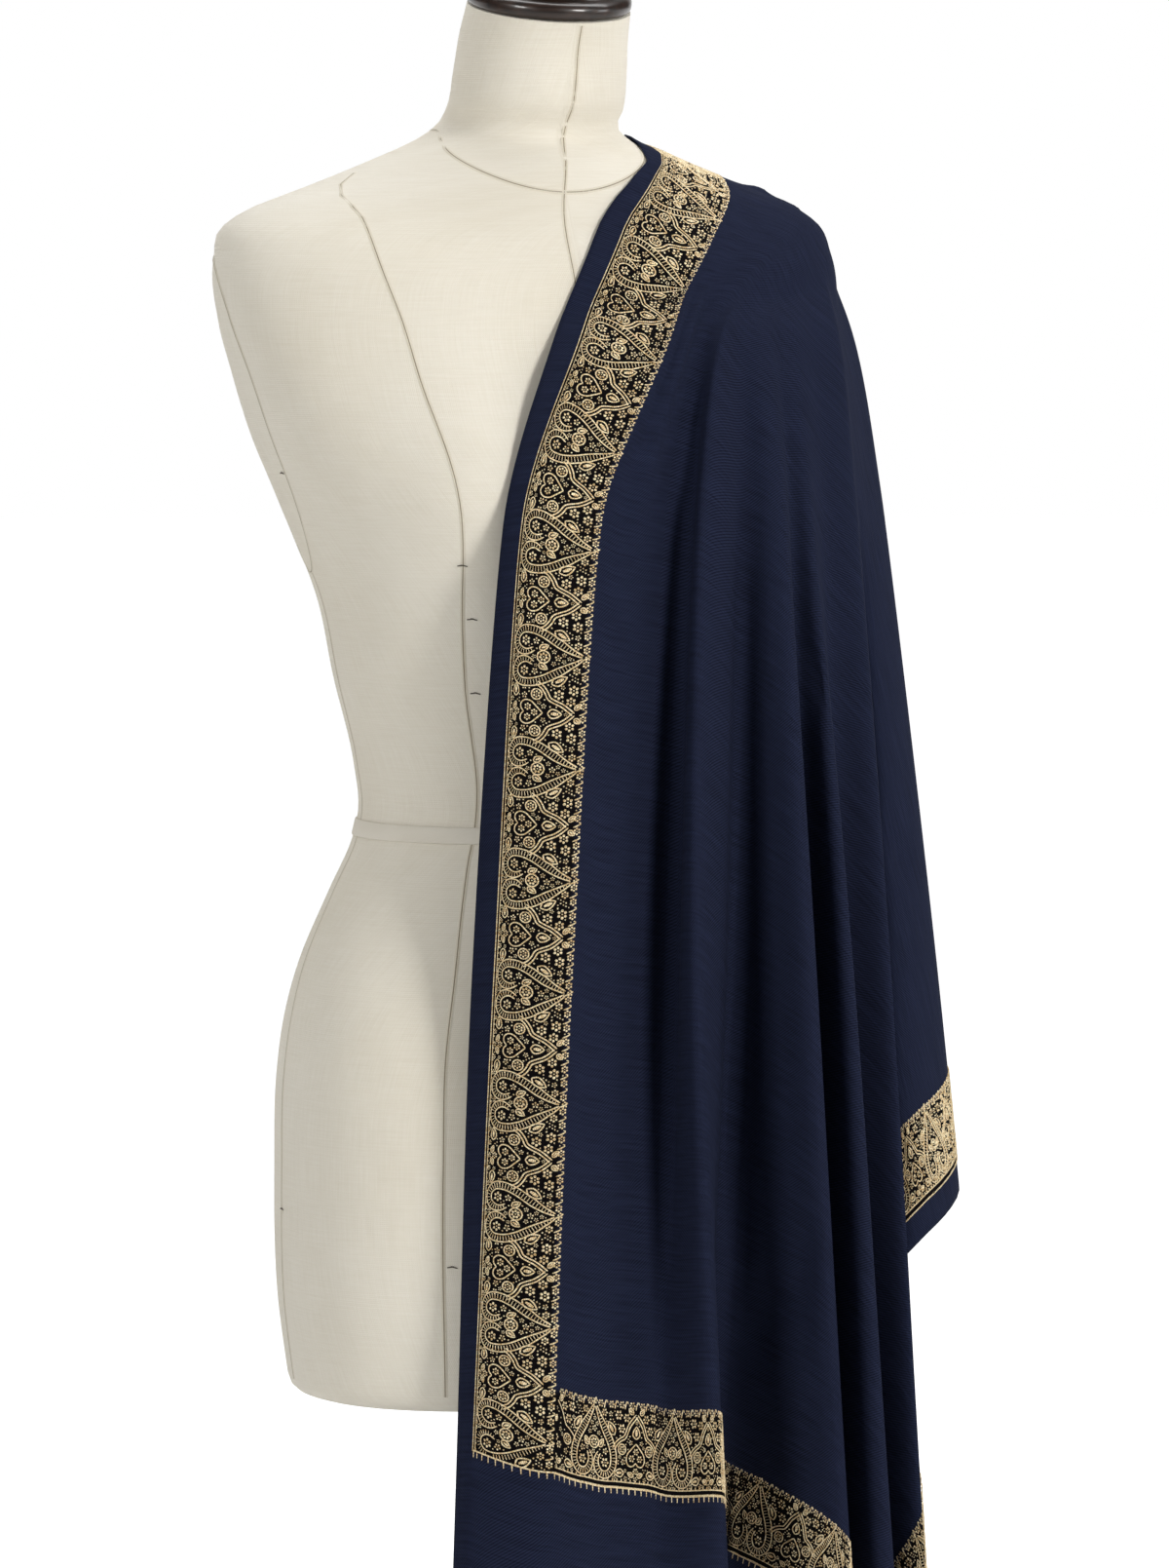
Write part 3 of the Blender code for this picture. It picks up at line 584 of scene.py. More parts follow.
def twill_tape():
    """Bleached cotton in a fine twill: paler and smoother than the canvas."""
    cotton = Finish("cotton twill tape", Roughness=0.85, Specular_IOR_Level=0.3)
    place = cotton.stored("cover_place")
    cotton.coloured(cotton.noise(place, (0.05, 0.02, 1.0), 2.0), "DAD3C4", "ECE7DC")
    leaned = cotton.mapped(place, Rotation=(0, 0, radians(50)))
    cotton.bumped(cotton.waves(leaned, "X", TAPE_RIB), 0.3, 0.0003)
    return cotton


def make_waist_tape():
    angles = np.linspace(0, 360, TORSO_SIDES, endpoint=False)
    share, lift = np.array(TAPE_SECTION).T[..., None]
    points = on_form(WAIST + share * TAPE_HEIGHT, angles, lift)
    place = joined(np.linspace(0, TAPE_LENGTH, TORSO_SIDES), points[..., 2], 0)
    faces = grid_faces(*points.shape[:2], closed=True, wrapped=True)
    tape = make_piece("waist_tape_fine", points, faces, twill_tape(), "twill_tape", cover_place=place)
    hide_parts("waist_tape")
    return tape


print("tape:", triangles(make_waist_tape()), "triangles")

# %% [markdown]
# ## Turned wood, and the stand
#
# The neck cap is turned from beech, stained nearly black and varnished: under a clear coat, the grain runs
# across the disc in long dark streaks. The pole is drawn steel tube and the base is cast iron, both painted
# satin black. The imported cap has 36 sides, and a finer one from the same profile stands for it. The pole
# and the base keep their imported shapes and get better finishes.

# %% Wood and paint
def stained_beech():
    """Beech stained dark and varnished: streaked along the grain, with a soft clear gloss."""
    beech = Finish("stained beech", Roughness=0.38, Coat_Weight=0.5, Coat_Roughness=0.12, Coat_IOR=1.5)
    place = add(beech.tree, "TexCoord").outputs["Object"]
    streaks = beech.noise(place, (0.060, 0.0025, 0.0025), 5.0)
    beech.coloured(beech.between(streaks, 0.3, 0.75), "140D0A", "38261E")
    beech.bumped(streaks, 0.15, 0.0002)
    return beech


def black_enamel(name, roughness, grain, depth):
    """Satin black paint over metal. grain is the size of the unevenness that shows through it."""
    paint = Finish(name, Base_Color=linear("161514"), Specular_IOR_Level=0.5)
    place = add(paint.tree, "TexCoord").outputs["Object"]
    wear = paint.noise(place, (0.08,) * 3, 3.0)
    gloss = add(paint.tree, "MapRange", Value=wear, To_Min=roughness - 0.08, To_Max=roughness + 0.12)
    wire(paint.shader, Roughness=gloss.outputs[0])
    paint.bumped(paint.noise(place, (grain,) * 3, 4.0), 0.4, depth)
    return paint.material


pole, base = [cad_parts[name].material_slots[0] for name in ("stand_pole", "stand_base")]
pole.material = black_enamel("enamelled steel", 0.30, 0.02, 0.0001)
base.material = black_enamel("enamelled iron", 0.62, 0.0015, 0.0003)
print("stand:", pole.material.name, "and", base.material.name)

# %% The neck cap
CAP_SIDES = 120
CAP_GAP = 0.0003
CAP_PROFILE = [  # radius, height above the neck's top
    (0.0000, 0.0000), (0.0440, 0.0000), (0.0463, 0.0004), (0.0472, 0.0012), (0.0478, 0.0026),
    (0.0480, 0.0045), (0.0479, 0.0062), (0.0474, 0.0078), (0.0462, 0.0091), (0.0440, 0.0100),
    (0.0418, 0.0104), (0.0405, 0.0108), (0.0395, 0.0115), (0.0392, 0.0128), (0.0396, 0.0144),
    (0.0398, 0.0160), (0.0395, 0.0176), (0.0385, 0.0190), (0.0366, 0.0207), (0.0340, 0.0225),
    (0.0308, 0.0242), (0.0270, 0.0255), (0.0229, 0.0267), (0.0185, 0.0278), (0.0090, 0.0290),
    (0.0000, 0.0292),
]


def make_neck_cap():
    radius, z = np.array(CAP_PROFILE).T[..., None]
    angle = np.linspace(0, 2 * pi, CAP_SIDES, endpoint=False)
    x, y = radius * np.cos(angle), radius * np.sin(angle)
    c, s = cos(NECK_TILT), sin(NECK_TILT)
    leaned = joined(x, y * c - z * s + FORM_RINGS[-1, 5], NECK_TOP + CAP_GAP / c + y * s + z * c)
    cap = make_piece("neck_cap_fine", out_of_form(leaned), grid_faces(len(radius), CAP_SIDES, closed=True),
                     stained_beech(), "turned_wood")
    weld(cap, 1e-6)
    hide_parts("neck_cap")
    return cap


print("cap:", triangles(make_neck_cap()), "triangles")

# %% [markdown]
# ## How the stole hangs
#
# The stole is a flat rectangle of 70 by 200 centimetres. A strip beside one long edge lies on the slope of
# the shoulder, and the rest fans out round the shoulder's tip and falls in pleats. So a place on the cloth
# has two useful addresses. One is (u, v): metres across it from the edge beside the neck, and metres along
# it from the top of the shoulder. The other is (fold, fall): which way the cloth hangs there, and how far
# down. The tables say where each ridge and valley stands in plan at four heights, and curves through them
# make the sheet. A cloth simulation would find folds of its own. These have to be the ones that are there.

# %% The stole's sizes
CLOTH_WIDTH = 0.700
FRONT_FALL = 0.940
BACK_FALL = 1.060
ON_SHOULDER = 0.125
CLEAR = 0.0021                   # from the form to the middle of the cloth
CLOTH_THICK = 0.0009
PLAIN_MARGIN = 0.017
BORDER = 0.051
END_MARGIN = 0.077               # plain cloth below the border at the stole's two ends

FOLD_HEIGHTS = (1.310, 1.215, 0.950, 0.660)
LOWER_HEIGHTS = (0.350, 0.050)
FRONT_FOLDS = [
    # kind     place      x, y at 1.310     x, y at 1.215      x, y at 0.950      x, y at 0.660
    ("across", 0.000, (0.0130, -0.107), (-0.0145, -0.151), (-0.0340, -0.145), (-0.0435, -0.143)),
    ("across", 0.017, (0.0280, -0.110), (-0.0040, -0.157), (-0.0213, -0.156), (-0.0345, -0.155)),
    ("across", 0.068, (0.0803, -0.093), (0.0425, -0.141), (0.0242, -0.170), (0.0125, -0.168)),
    ("spread", 1.5, (0.1005, -0.076), (0.0865, -0.110), (0.0762, -0.112), (0.0700, -0.132)),
    ("spread", 5.5, (0.1090, -0.078), (0.0970, -0.125), (0.0930, -0.147), (0.1075, -0.151)),
    ("spread", 12.5, (0.1220, -0.064), (0.1245, -0.104), (0.1205, -0.092), (0.1050, -0.070)),
    ("spread", 20.5, (0.1360, -0.057), (0.1425, -0.100), (0.1600, -0.118), (0.1780, -0.118)),
    ("spread", 25.5, (0.1430, -0.048), (0.1480, -0.084), (0.1575, -0.076), (0.1660, -0.070)),
    ("spread", 30.0, (0.1520, -0.042), (0.1586, -0.080), (0.1825, -0.100), (0.2026, -0.103)),
    ("spread", 34.5, (0.1620, -0.030), (0.1680, -0.058), (0.1770, -0.058), (0.1880, -0.050)),
    ("spread", 38.5, (0.1765, -0.012), (0.1863, -0.038), (0.2065, -0.060), (0.2236, -0.072)),
    ("spread", 52.0, (0.1780, 0.010), (0.1865, -0.002), (0.1850, 0.045), (0.1870, 0.060)),
    ("spread", 64.0, (0.1820, 0.035), (0.1945, 0.028), (0.2090, 0.000), (0.2250, -0.025)),
    ("spread", 75.5, (0.1870, 0.060), (0.2045, 0.070), (0.2355, 0.060), (0.2640, 0.060)),
]
BACK_EDGE_FOLDS = [
    ("across", 0.125, (0.1300, 0.140), (0.1220, 0.158), (0.1080, 0.188), (0.0980, 0.200)),
    ("across", 0.095, (0.1120, 0.134), (0.1000, 0.146), (0.0850, 0.168), (0.0750, 0.175)),
    ("across", 0.060, (0.0880, 0.134), (0.0700, 0.147), (0.0520, 0.180), (0.0400, 0.190)),
    ("across", 0.017, (0.0580, 0.124), (0.0300, 0.138), (0.0120, 0.165), (0.0000, 0.172)),
    ("across", 0.000, (0.0460, 0.118), (0.0160, 0.131), (-0.0030, 0.157), (-0.0150, 0.162)),
]
BACK_CREST_LINE = [
    # share of the way round the back, then x, y at the four heights
    (0.00, (0.187, 0.060), (0.2045, 0.070), (0.2355, 0.060), (0.264, 0.060)),
    (0.25, (0.183, 0.098), (0.2000, 0.105), (0.2320, 0.125), (0.258, 0.135)),
    (0.50, (0.172, 0.127), (0.1830, 0.140), (0.2030, 0.170), (0.215, 0.190)),
    (0.75, (0.150, 0.137), (0.1550, 0.155), (0.1600, 0.190), (0.160, 0.205)),
    (1.00, (0.130, 0.140), (0.1220, 0.158), (0.1080, 0.188), (0.098, 0.200)),
]
BACK_PLEATS = 6
BACK_PLEAT_DEPTH = (0.004, 0.018, 0.055, 0.085)
BACK_PLEAT_CENTRE = (0.020, 0.000)
SIDE_FOLD_SPREAD = 75.5
SHOULDER_PLACES = [  # width of the cloth, distance from the form's middle
    (0.000, 0.0640), (PLAIN_MARGIN, 0.0775), (PLAIN_MARGIN + BORDER, 0.1255), (ON_SHOULDER, 0.1745),
]
SHOULDER_HEIGHTS = (1.353, 1.435)  # the form's rings between these make the shoulder's slope
CREASES = [
    # u1      v1      u2     v2     height   half width
    (0.076, -0.100, 0.066, -0.300, 0.0040, 0.0090),
    (0.094, -0.100, 0.101, -0.320, 0.0045, 0.0090),
    (0.104, 0.040, 0.088, -0.130, 0.0040, 0.0090),
    (0.131, -0.120, 0.153, -0.860, -0.0050, 0.0090),
    (0.157, -0.146, 0.309, -0.830, -0.0100, 0.0120),
    (0.286, -0.300, 0.312, -0.330, -0.0030, 0.0080),
    (0.470, -0.175, 0.512, -0.150, -0.0030, 0.0080),
    (0.344, -0.640, 0.348, -0.730, -0.0040, 0.0080),
    (0.325, -0.670, 0.322, -0.745, -0.0035, 0.0070),
    (0.080, -0.730, 0.092, -0.760, -0.0030, 0.0070),
]
print(f"the stole is {CLOTH_WIDTH:.2f} by {FRONT_FALL + BACK_FALL:.2f} m")

# %% Fold lines
def ridge_place(u):
    """Where width u of the cloth crosses the top of the left shoulder."""
    x = through(u, *np.array(SHOULDER_PLACES).T)
    low, high = SHOULDER_HEIGHTS
    slope = FORM_RINGS[(FORM_RINGS[:, 0] > low) & (FORM_RINGS[:, 0] < high)][::-1]
    z, lean = through(x, slope[:, 1], slope[:, 0]), through(x, slope[:, 1], slope[:, 5])
    return out_of_form(joined(x, lean, z + CLEAR))


def back_pleats():
    """The even pleats behind the side fold, in the same form as FRONT_FOLDS."""
    folds = []
    knots = [row[0] for row in BACK_CREST_LINE]
    places = np.array([row[1:] for row in BACK_CREST_LINE])
    for k in range(1, 2 * BACK_PLEATS):
        share = k / (2 * BACK_PLEATS)
        place = through(share, knots, places)
        if k % 2:
            place = place + unit(np.array(BACK_PLEAT_CENTRE) - place) * np.array(BACK_PLEAT_DEPTH)[:, None]
        folds.append(("spread", SIDE_FOLD_SPREAD + (180.0 - SIDE_FOLD_SPREAD) * share, *place))
    return folds


def hang(row):
    """A fold line's points from the shoulder down."""
    kind, place, *plan = row
    top = ridge_place(place if kind == "across" else ON_SHOULDER)
    plan = np.array(plan, float)
    run = (plan[-1] - plan[-2]) / (FOLD_HEIGHTS[-1] - FOLD_HEIGHTS[-2])
    lower = [plan[-1] + run * (z - FOLD_HEIGHTS[-1]) for z in LOWER_HEIGHTS]
    below = np.column_stack([np.concatenate([plan, lower]), FOLD_HEIGHTS + LOWER_HEIGHTS])
    return np.concatenate([[top], below])


def fold_address(row, behind):
    """One number for a fold line: metres on the shoulder, then radians round its tip."""
    if row[0] == "spread":
        return radians(row[1])
    return pi + ON_SHOULDER - row[1] if behind else row[1] - ON_SHOULDER


def on_cloth(fold, fall):
    """The place u, v on the cloth of folds and lengths of fall."""
    past = np.minimum(fold, 0) + np.minimum(pi - fold, 0)
    fanned = np.clip(fold, 0, pi)
    return ON_SHOULDER + past + fall * np.sin(fanned), -fall * np.cos(fanned)


print("pleats behind:", BACK_PLEATS, "in", len(back_pleats()), "fold lines")

# %% Curves, creases and rest
CORNER_EASE = 0.45               # how far a curve's slope reaches at a sharp corner, as a share of a leg
CREASE_FADE = 0.25               # a crease fades in and out over this share of its length
PAST_THE_UNDERSIDE = 0.030       # the form stops holding the cloth off over this far below its lower edge
RESTING_BLEND = 0.0012
REST_STEPS = 4


def smooth(points, axis, steps):
    """More points between the given ones, on a smooth curve that halves each corner and can't overshoot."""
    points = np.moveaxis(points, axis, 0)
    leg = np.diff(points, axis=0)
    length = np.linalg.norm(leg, axis=-1, keepdims=True)
    way = unit(leg)
    both = np.concatenate([way[:1], way]) + np.concatenate([way, way[-1:]])
    least = np.minimum(np.concatenate([length[:1], length]), np.concatenate([length, length[-1:]]))
    straight = np.linalg.norm(both, axis=-1, keepdims=True) / 2
    slope = both / (2 * straight + 1e-9) * least * (CORNER_EASE + (1 - CORNER_EASE) * straight)
    t = np.linspace(0, 1, steps, endpoint=False)[:, None, None]
    bend = between_ends(t, points[:-1, None], points[1:, None], slope[:-1, None], slope[1:, None])
    bend = bend.reshape(-1, *points.shape[1:])
    return np.moveaxis(np.concatenate([bend, points[-1:]]), 0, axis)


def falls_along(grid):
    """The length of fall from the shoulder to each point of the grid."""
    return np.array([run_along(column) for column in grid])


def creased(grid, column_fold):
    """The grid, lifted or sunk along each crease."""
    u, v = on_cloth(column_fold[:, None], falls_along(grid))
    rise = np.zeros(u.shape)
    for u1, v1, u2, v2, height, half_width in CREASES:
        run = np.hypot(u2 - u1, v2 - v1)
        du, dv = (u2 - u1) / run, (v2 - v1) / run
        along = ((u - u1) * du + (v - v1) * dv) / run
        aside = (u - u1) * dv - (v - v1) * du
        ends = np.clip(along / CREASE_FADE, 0, 1) * np.clip((1 - along) / CREASE_FADE, 0, 1)
        rise += height * ends * np.exp(-(aside / half_width) ** 2)
    normal = unit(np.cross(np.gradient(grid, axis=1), np.gradient(grid, axis=0)))
    return grid + normal * rise[..., None]


def kept_off_form(grid):
    """The grid with what would lie inside the form lifted to rest just off its surface."""
    distance, way = distance_to_form(grid)
    beside_it = np.clip(1 - (FORM_BOTTOM - grid[..., 2]) / PAST_THE_UNDERSIDE, 0, 1)
    lift = RESTING_BLEND * np.logaddexp(0.0, (CLEAR - distance) / RESTING_BLEND) * beside_it
    wanted = distance + lift
    for _ in range(REST_STEPS):
        grid = grid + way * (wanted - distance)[..., None] * (lift > 1e-5)[..., None]
        distance, way = distance_to_form(grid)
    return grid


print("creases:", len(CREASES))

# %% The hanging sheet
PROBE = 0.003                    # how far to each side of a place the sheet's slope is read
TIP_PROBE = 0.006                # the same, within TIP_REACH of the shoulder's tip
TIP_REACH = 0.025


class Stole:
    """The hanging sheet as a table: a column for each fold, and a row for each step of fall."""

    FINE_ACROSS = 12
    FINE_DOWN = 18
    FALL_STEP = 0.0025
    LONGEST = 1.300

    def __init__(self):
        folds = [(row, False) for row in FRONT_FOLDS]
        folds += [(row, True) for row in back_pleats() + BACK_EDGE_FOLDS]
        self.fold = np.array([fold_address(row, behind) for row, behind in folds])
        grid = np.array([hang(row) for row, _ in folds])
        grid = smooth(smooth(grid, 0, self.FINE_ACROSS), 1, self.FINE_DOWN)
        columns = np.arange(len(grid)) / self.FINE_ACROSS
        grid = kept_off_form(creased(grid, np.interp(columns, np.arange(len(self.fold)), self.fold)))
        even = np.arange(0, self.LONGEST, self.FALL_STEP)
        falls = falls_along(grid)
        self.table = joined(*[
            [np.interp(even, fall, line[:, axis]) for fall, line in zip(falls, grid)] for axis in range(3)
        ])

    def bare(self, u, v):
        """The middle of the cloth at u, v."""
        past = u - ON_SHOULDER
        fold = np.where(past > 0, np.arctan2(past, -v), np.where(v > 0, pi - past, past))
        fall = np.where(past > 0, np.hypot(past, v), np.abs(v))
        column = np.interp(fold, self.fold, np.arange(len(self.fold))) * self.FINE_ACROSS
        row = np.clip(fall / self.FALL_STEP, 0, self.table.shape[1] - 1.001)
        c = np.clip(column.astype(int), 0, len(self.table) - 2)
        r = row.astype(int)
        a, b = (column - c)[..., None], (row - r)[..., None]
        upper = self.table[c, r] * (1 - a) + self.table[c + 1, r] * a
        lower = self.table[c, r + 1] * (1 - a) + self.table[c + 1, r + 1] * a
        return upper * (1 - b) + lower * b

    def outward(self, u, v):
        """The cloth's upper side: away from the form. Round the shoulder's tip it is evened out."""
        h = np.where(np.hypot(u - ON_SHOULDER, v) < TIP_REACH, TIP_PROBE, PROBE)
        across = self.bare(u + h, v) - self.bare(u - h, v)
        along = self.bare(u, v + h) - self.bare(u, v - h)
        return unit(np.cross(across, along))

    def at(self, u, v, lift=0.0):
        """The place at u, v, lifted off the middle of the cloth."""
        u, v = np.asarray(u, float), np.asarray(v, float)
        return self.bare(u, v) + self.outward(u, v) * np.asarray(lift, float)[..., None]


stole = Stole()
print("fold lines:", len(stole.fold), " sheet table:", stole.table.shape)

# %% [markdown]
# ## Pashmina
#
# Pashmina is a diamond twill of hair finer than silk, so it is matt, with a bloom where light grazes it.
# That bloom is the shader's sheen. The twill's ribs are under half a millimetre apart. Here they are drawn
# three times as coarse, or they would vanish. Long level noise stands for the uneven weft, and broad noise
# for the soft wrinkles that handling leaves in so thin a cloth. Under the border the right side is darker: a
# ground of dark stitches covers it, and painted shade stands for the shade between the raised gold threads.
# The reverse is plain.

# %% Pashmina
TWILL_RIB = 0.0014
GROUND_AND_SHADE_START = 0.0006            # how far outside the border's outer line its dark ground and painted shade start
GROUND_AND_SHADE_FADE = (0.0015, 0.0055)   # how far before the border's inner edge its dark ground and painted shade are gone, and are whole


def border_ground_and_shade(twill, place):
    """1 where the border's dark under-stitching, with painted shade between its gold threads, covers the
    cloth's right side, and 0 elsewhere.
    """
    def from_edges(position, low, high, margin):
        """How far a position is from the nearer of two edges, less a margin."""
        off_middle = twill.reckon("ABSOLUTE", twill.reckon("SUBTRACT", position, (low + high) / 2))
        return twill.reckon("SUBTRACT", (high - low) / 2 - margin, off_middle)

    parts = add(twill.tree, "SeparateXYZ", Vector=place).outputs
    from_sides = from_edges(parts["X"], 0.0, CLOTH_WIDTH, PLAIN_MARGIN)
    from_ends = from_edges(parts["Y"], -FRONT_FALL, BACK_FALL, END_MARGIN)
    inward = twill.reckon("MINIMUM", from_sides, from_ends)
    past_line = twill.between(inward, -GROUND_AND_SHADE_START, 0.0)
    to_field = twill.between(inward, BORDER - GROUND_AND_SHADE_FADE[0], BORDER - GROUND_AND_SHADE_FADE[1])
    right_side = twill.reckon("SUBTRACT", 1.0, parts["Z"])
    return twill.reckon("MULTIPLY", right_side, twill.reckon("MULTIPLY", past_line, to_field))


def pashmina_twill():
    """Dyed fine goat-hair twill: deep midnight blue, matt, with a bluish bloom."""
    twill = Finish("pashmina twill", Roughness=0.95, Specular_IOR_Level=0.04, Sheen_Weight=0.03,
                   Sheen_Roughness=0.5, Sheen_Tint=linear("8088A8"))
    place = twill.stored("cloth_place")
    ribs = twill.waves(twill.mapped(place, Rotation=(0, 0, radians(45))), "X", TWILL_RIB)
    weft = twill.noise(place, (0.035, 0.0013, 1.0))
    fine = twill.reckon("MULTIPLY_ADD", weft, 1.6, ribs)
    twill.coloured(twill.between(fine, 0.6, 2.0), "131622", "262C44")
    # painted shade between the border's gold threads, over its dark stitched ground
    twill.coloured(border_ground_and_shade(twill, place), twill.colour, "0D0B0C")
    twill.bumped(twill.noise(place, (0.045, 0.012, 1.0)), 0.5, 0.0022)
    twill.bumped(fine, 0.35, 0.0004)
    return twill


pashmina = pashmina_twill()
print("finish:", pashmina.material.name)

# %% [markdown]
# ## The cloth
#
# The cloth is one thin sheet. Its columns follow the folds, so every ridge and valley lies along a row of
# edges and stays crisp, and its rows are a little closer together near the shoulder. Where the front and
# the back meet on top of the shoulder, the two sets of points are the same and are welded. A Solidify
# modifier gives the sheet its nine tenths of a millimetre and a closed edge, and is then applied.

# %% The cloth
COLUMN_STEPS = 9                 # columns between one fold line and the next
SHOULDER_COLUMNS = 31
ROWS = 150
ROW_SPREAD = 1.12                # above 1, the rows are closer together near the shoulder
WELD_REACH = 2e-5


def longest_fall(fold):
    """How far down the cloth its cut edge is, on each fold."""
    fanned = np.clip(fold, 0, pi)
    side = (CLOTH_WIDTH - ON_SHOULDER) / np.maximum(np.sin(fanned), 1e-9)
    end = np.where(fanned < pi / 2, FRONT_FALL, BACK_FALL)
    return np.minimum(side, end / np.maximum(np.abs(np.cos(fanned)), 1e-9))


def cloth_columns():
    """The folds that the sheet's columns follow, with one through each corner of the cloth."""
    reach = CLOTH_WIDTH - ON_SHOULDER
    shoulder = np.linspace(0, ON_SHOULDER, SHOULDER_COLUMNS)
    marks = np.concatenate([[0], stole.fold[(stole.fold > 0) & (stole.fold < pi)], [pi]])
    steps = np.arange(COLUMN_STEPS * (len(marks) - 1)) / COLUMN_STEPS
    between = np.interp(steps, np.arange(len(marks)), marks)
    for corner in (np.arctan2(reach, FRONT_FALL), pi - np.arctan2(reach, BACK_FALL)):
        between[np.argmin(np.abs(between - corner))] = corner
    return np.concatenate([shoulder - ON_SHOULDER, between[1:], pi + shoulder])


def mark_reverse(mesh):
    """Sets the third number of each point's place on the cloth: 0 on the right side, 1 on the reverse."""
    stored = mesh.attributes["cloth_place"].data
    place, points = np.empty((2, len(stored), 3), np.float32)
    stored.foreach_get("vector", place.reshape(-1))
    mesh.vertices.foreach_get("co", points.reshape(-1))
    u, v = place[:, :2].astype(float).T
    place[:, 2] = ((points - stole.bare(u, v)) * stole.outward(u, v)).sum(axis=1) < 0
    stored.foreach_set("vector", place.reshape(-1))


def make_cloth():
    """The whole stole as one sheet with a closed edge."""
    folds = cloth_columns()
    share = np.linspace(0, 1, ROWS) ** ROW_SPREAD
    u, v = on_cloth(folds[:, None], longest_fall(folds)[:, None] * share)
    cloth = make_piece("pashmina_stole", stole.at(u, v), grid_faces(*u.shape), pashmina, "pashmina",
                       cloth_place=joined(u, v, 0))
    weld(cloth, WELD_REACH)
    wall = cloth.modifiers.new("wall", "SOLIDIFY")
    wall.thickness, wall.offset = CLOTH_THICK, 0.0
    cloth.data = bpy.data.meshes.new_from_object(cloth.evaluated_get(bpy.context.evaluated_depsgraph_get()))
    cloth.modifiers.clear()
    mark_reverse(cloth.data)
    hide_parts("shawl_front", "shawl_back")
    return cloth


cloth = make_cloth()
print("cloth:", triangles(cloth), "triangles")

# %% [markdown]
# ## Drawing the border
#
# The border is couched work: a gold thread is laid on the cloth in a drawn line and stitched down. Its
# pattern is an old one, of two motifs in turn. One is the boteh, here a pair of curled canes that lean
# together to a point. The other is an arch over a heart with three small roses. Leaves, rosettes and seed
# stitches fill the ground between. The pattern is drawn flat first, in millimetres: s runs along the border,
# and t runs in from its outer line. Each stitch is a path and a width.

# %% Stitches
STITCH_STEP = 1.15               # millimetres between a path's points
THREAD = 0.92                    # width of one laid thread
RING_SIDES = 12
RUNG_PITCH = 1.75
RUNG_WIDTH = 0.8
RUNG_REACH = 0.62                # how far a rung reaches, as a share of the way to the thread beside it


def path_through(points):
    """Even steps along a smooth curve through the given places."""
    points = np.array(points, float)
    chord = run_along(points)
    fine = through(np.linspace(0, chord[-1], 24 * len(points)), chord, points)
    run = run_along(fine)
    even = np.linspace(0, run[-1], max(2, int(round(run[-1] / STITCH_STEP)) + 1))
    return joined(*[np.interp(even, run, line) for line in fine.T])


def beside(path, distance):
    """A path that keeps a distance (one number, or one for each point) to the left of another."""
    way = unit(np.gradient(path, axis=0))
    return path + joined(-way[:, 1], way[:, 0]) * np.reshape(distance, (-1, 1))


def mirrored(stitches):
    """The same stitches on the other side of s = 0."""
    return [(path * (-1, 1), width) for path, width in stitches]


def moved(stitches, s, t, angle=0.0):
    """The same stitches turned by an angle in degrees and set down at s, t."""
    c, d = cos(radians(angle)), sin(radians(angle))
    return [(path @ np.array([[c, d], [-d, c]]) + (s, t), width) for path, width in stitches]


def filled(*fillings):
    """The stitches of several fillings, each given with its place and its turn in degrees."""
    return [stitch for shape, *place in fillings for stitch in moved(shape, *place)]


def rosette(radius, petals=6):
    """A small flower: short fat petals round an open eye."""
    stitches = [(np.array([[-0.12, 0], [0.12, 0]]) * radius, radius * 0.55)]
    for k in range(petals):
        way = np.array([cos(2 * pi * k / petals), sin(2 * pi * k / petals)]) * radius
        stitches.append((np.array([way * 0.45, way * 0.72, way]), radius * 0.62))
    return stitches


def ring(radius):
    """A round of thread."""
    angle = np.linspace(0, 2 * pi, RING_SIDES + 1)
    return [(joined(np.cos(angle), np.sin(angle)) * radius, THREAD)]


def leaf(length, breadth):
    """A pointed leaf along +s: an outline with satin stitch inside it."""
    side = path_through(np.array([(0, 0), (0.28, 0.5), (0.62, 0.42), (1, 0)]) * (length, breadth))
    core = np.array([(0.24, 0.0), (0.5, 0.0), (0.76, 0.0)]) * length
    return [(side, THREAD), (side * (1, -1), THREAD), (core, breadth * 0.46)]


def ladder(path, half):
    """Two laid threads, half a ladder's width to each side of a path, with rungs of stitching between."""
    stitches = [(beside(path, half), THREAD), (beside(path, -half), THREAD)]
    run = run_along(path)
    for stop in np.arange(RUNG_PITCH / 2, run[-1], RUNG_PITCH):
        k = int(np.searchsorted(run, stop))
        centre = np.array([np.interp(stop, run, line) for line in path.T])
        way = unit(path[k] - path[k - 1])
        aside = np.array([-way[1], way[0]]) * half[k] * RUNG_REACH
        stitches.append((np.array([centre - aside, centre + aside]), RUNG_WIDTH))
    return stitches


print("a rosette has", len(rosette(2)), "stitches, and a leaf", len(leaf(6, 3)))

# %% The two motifs
CANE = [(0.9, 45.5), (4.6, 38.6), (9.0, 31.6), (13.0, 24.6), (15.0, 17.4), (14.3, 11.0), (10.6, 7.3),
        (5.8, 7.4), (2.7, 10.8), (2.2, 15.4), (4.0, 19.2)]
CANE_TAPER = ([0, 0.22, 0.85, 1], [0.6, 2.2, 2.0, 1.0])  # shares of its length, half widths there
ARCH = [(17.0, 22.0), (14.6, 25.4), (11.6, 27.6), (8.4, 29.2), (6.8, 32.0), (5.2, 35.6), (2.4, 39.4),
        (0.0, 42.0)]
ARCH_HALF = 0.9
HEART = [(0.0, 26.0), (3.4, 22.6), (6.3, 19.0), (6.6, 15.4), (4.4, 12.9), (1.8, 13.2), (0.0, 15.0)]


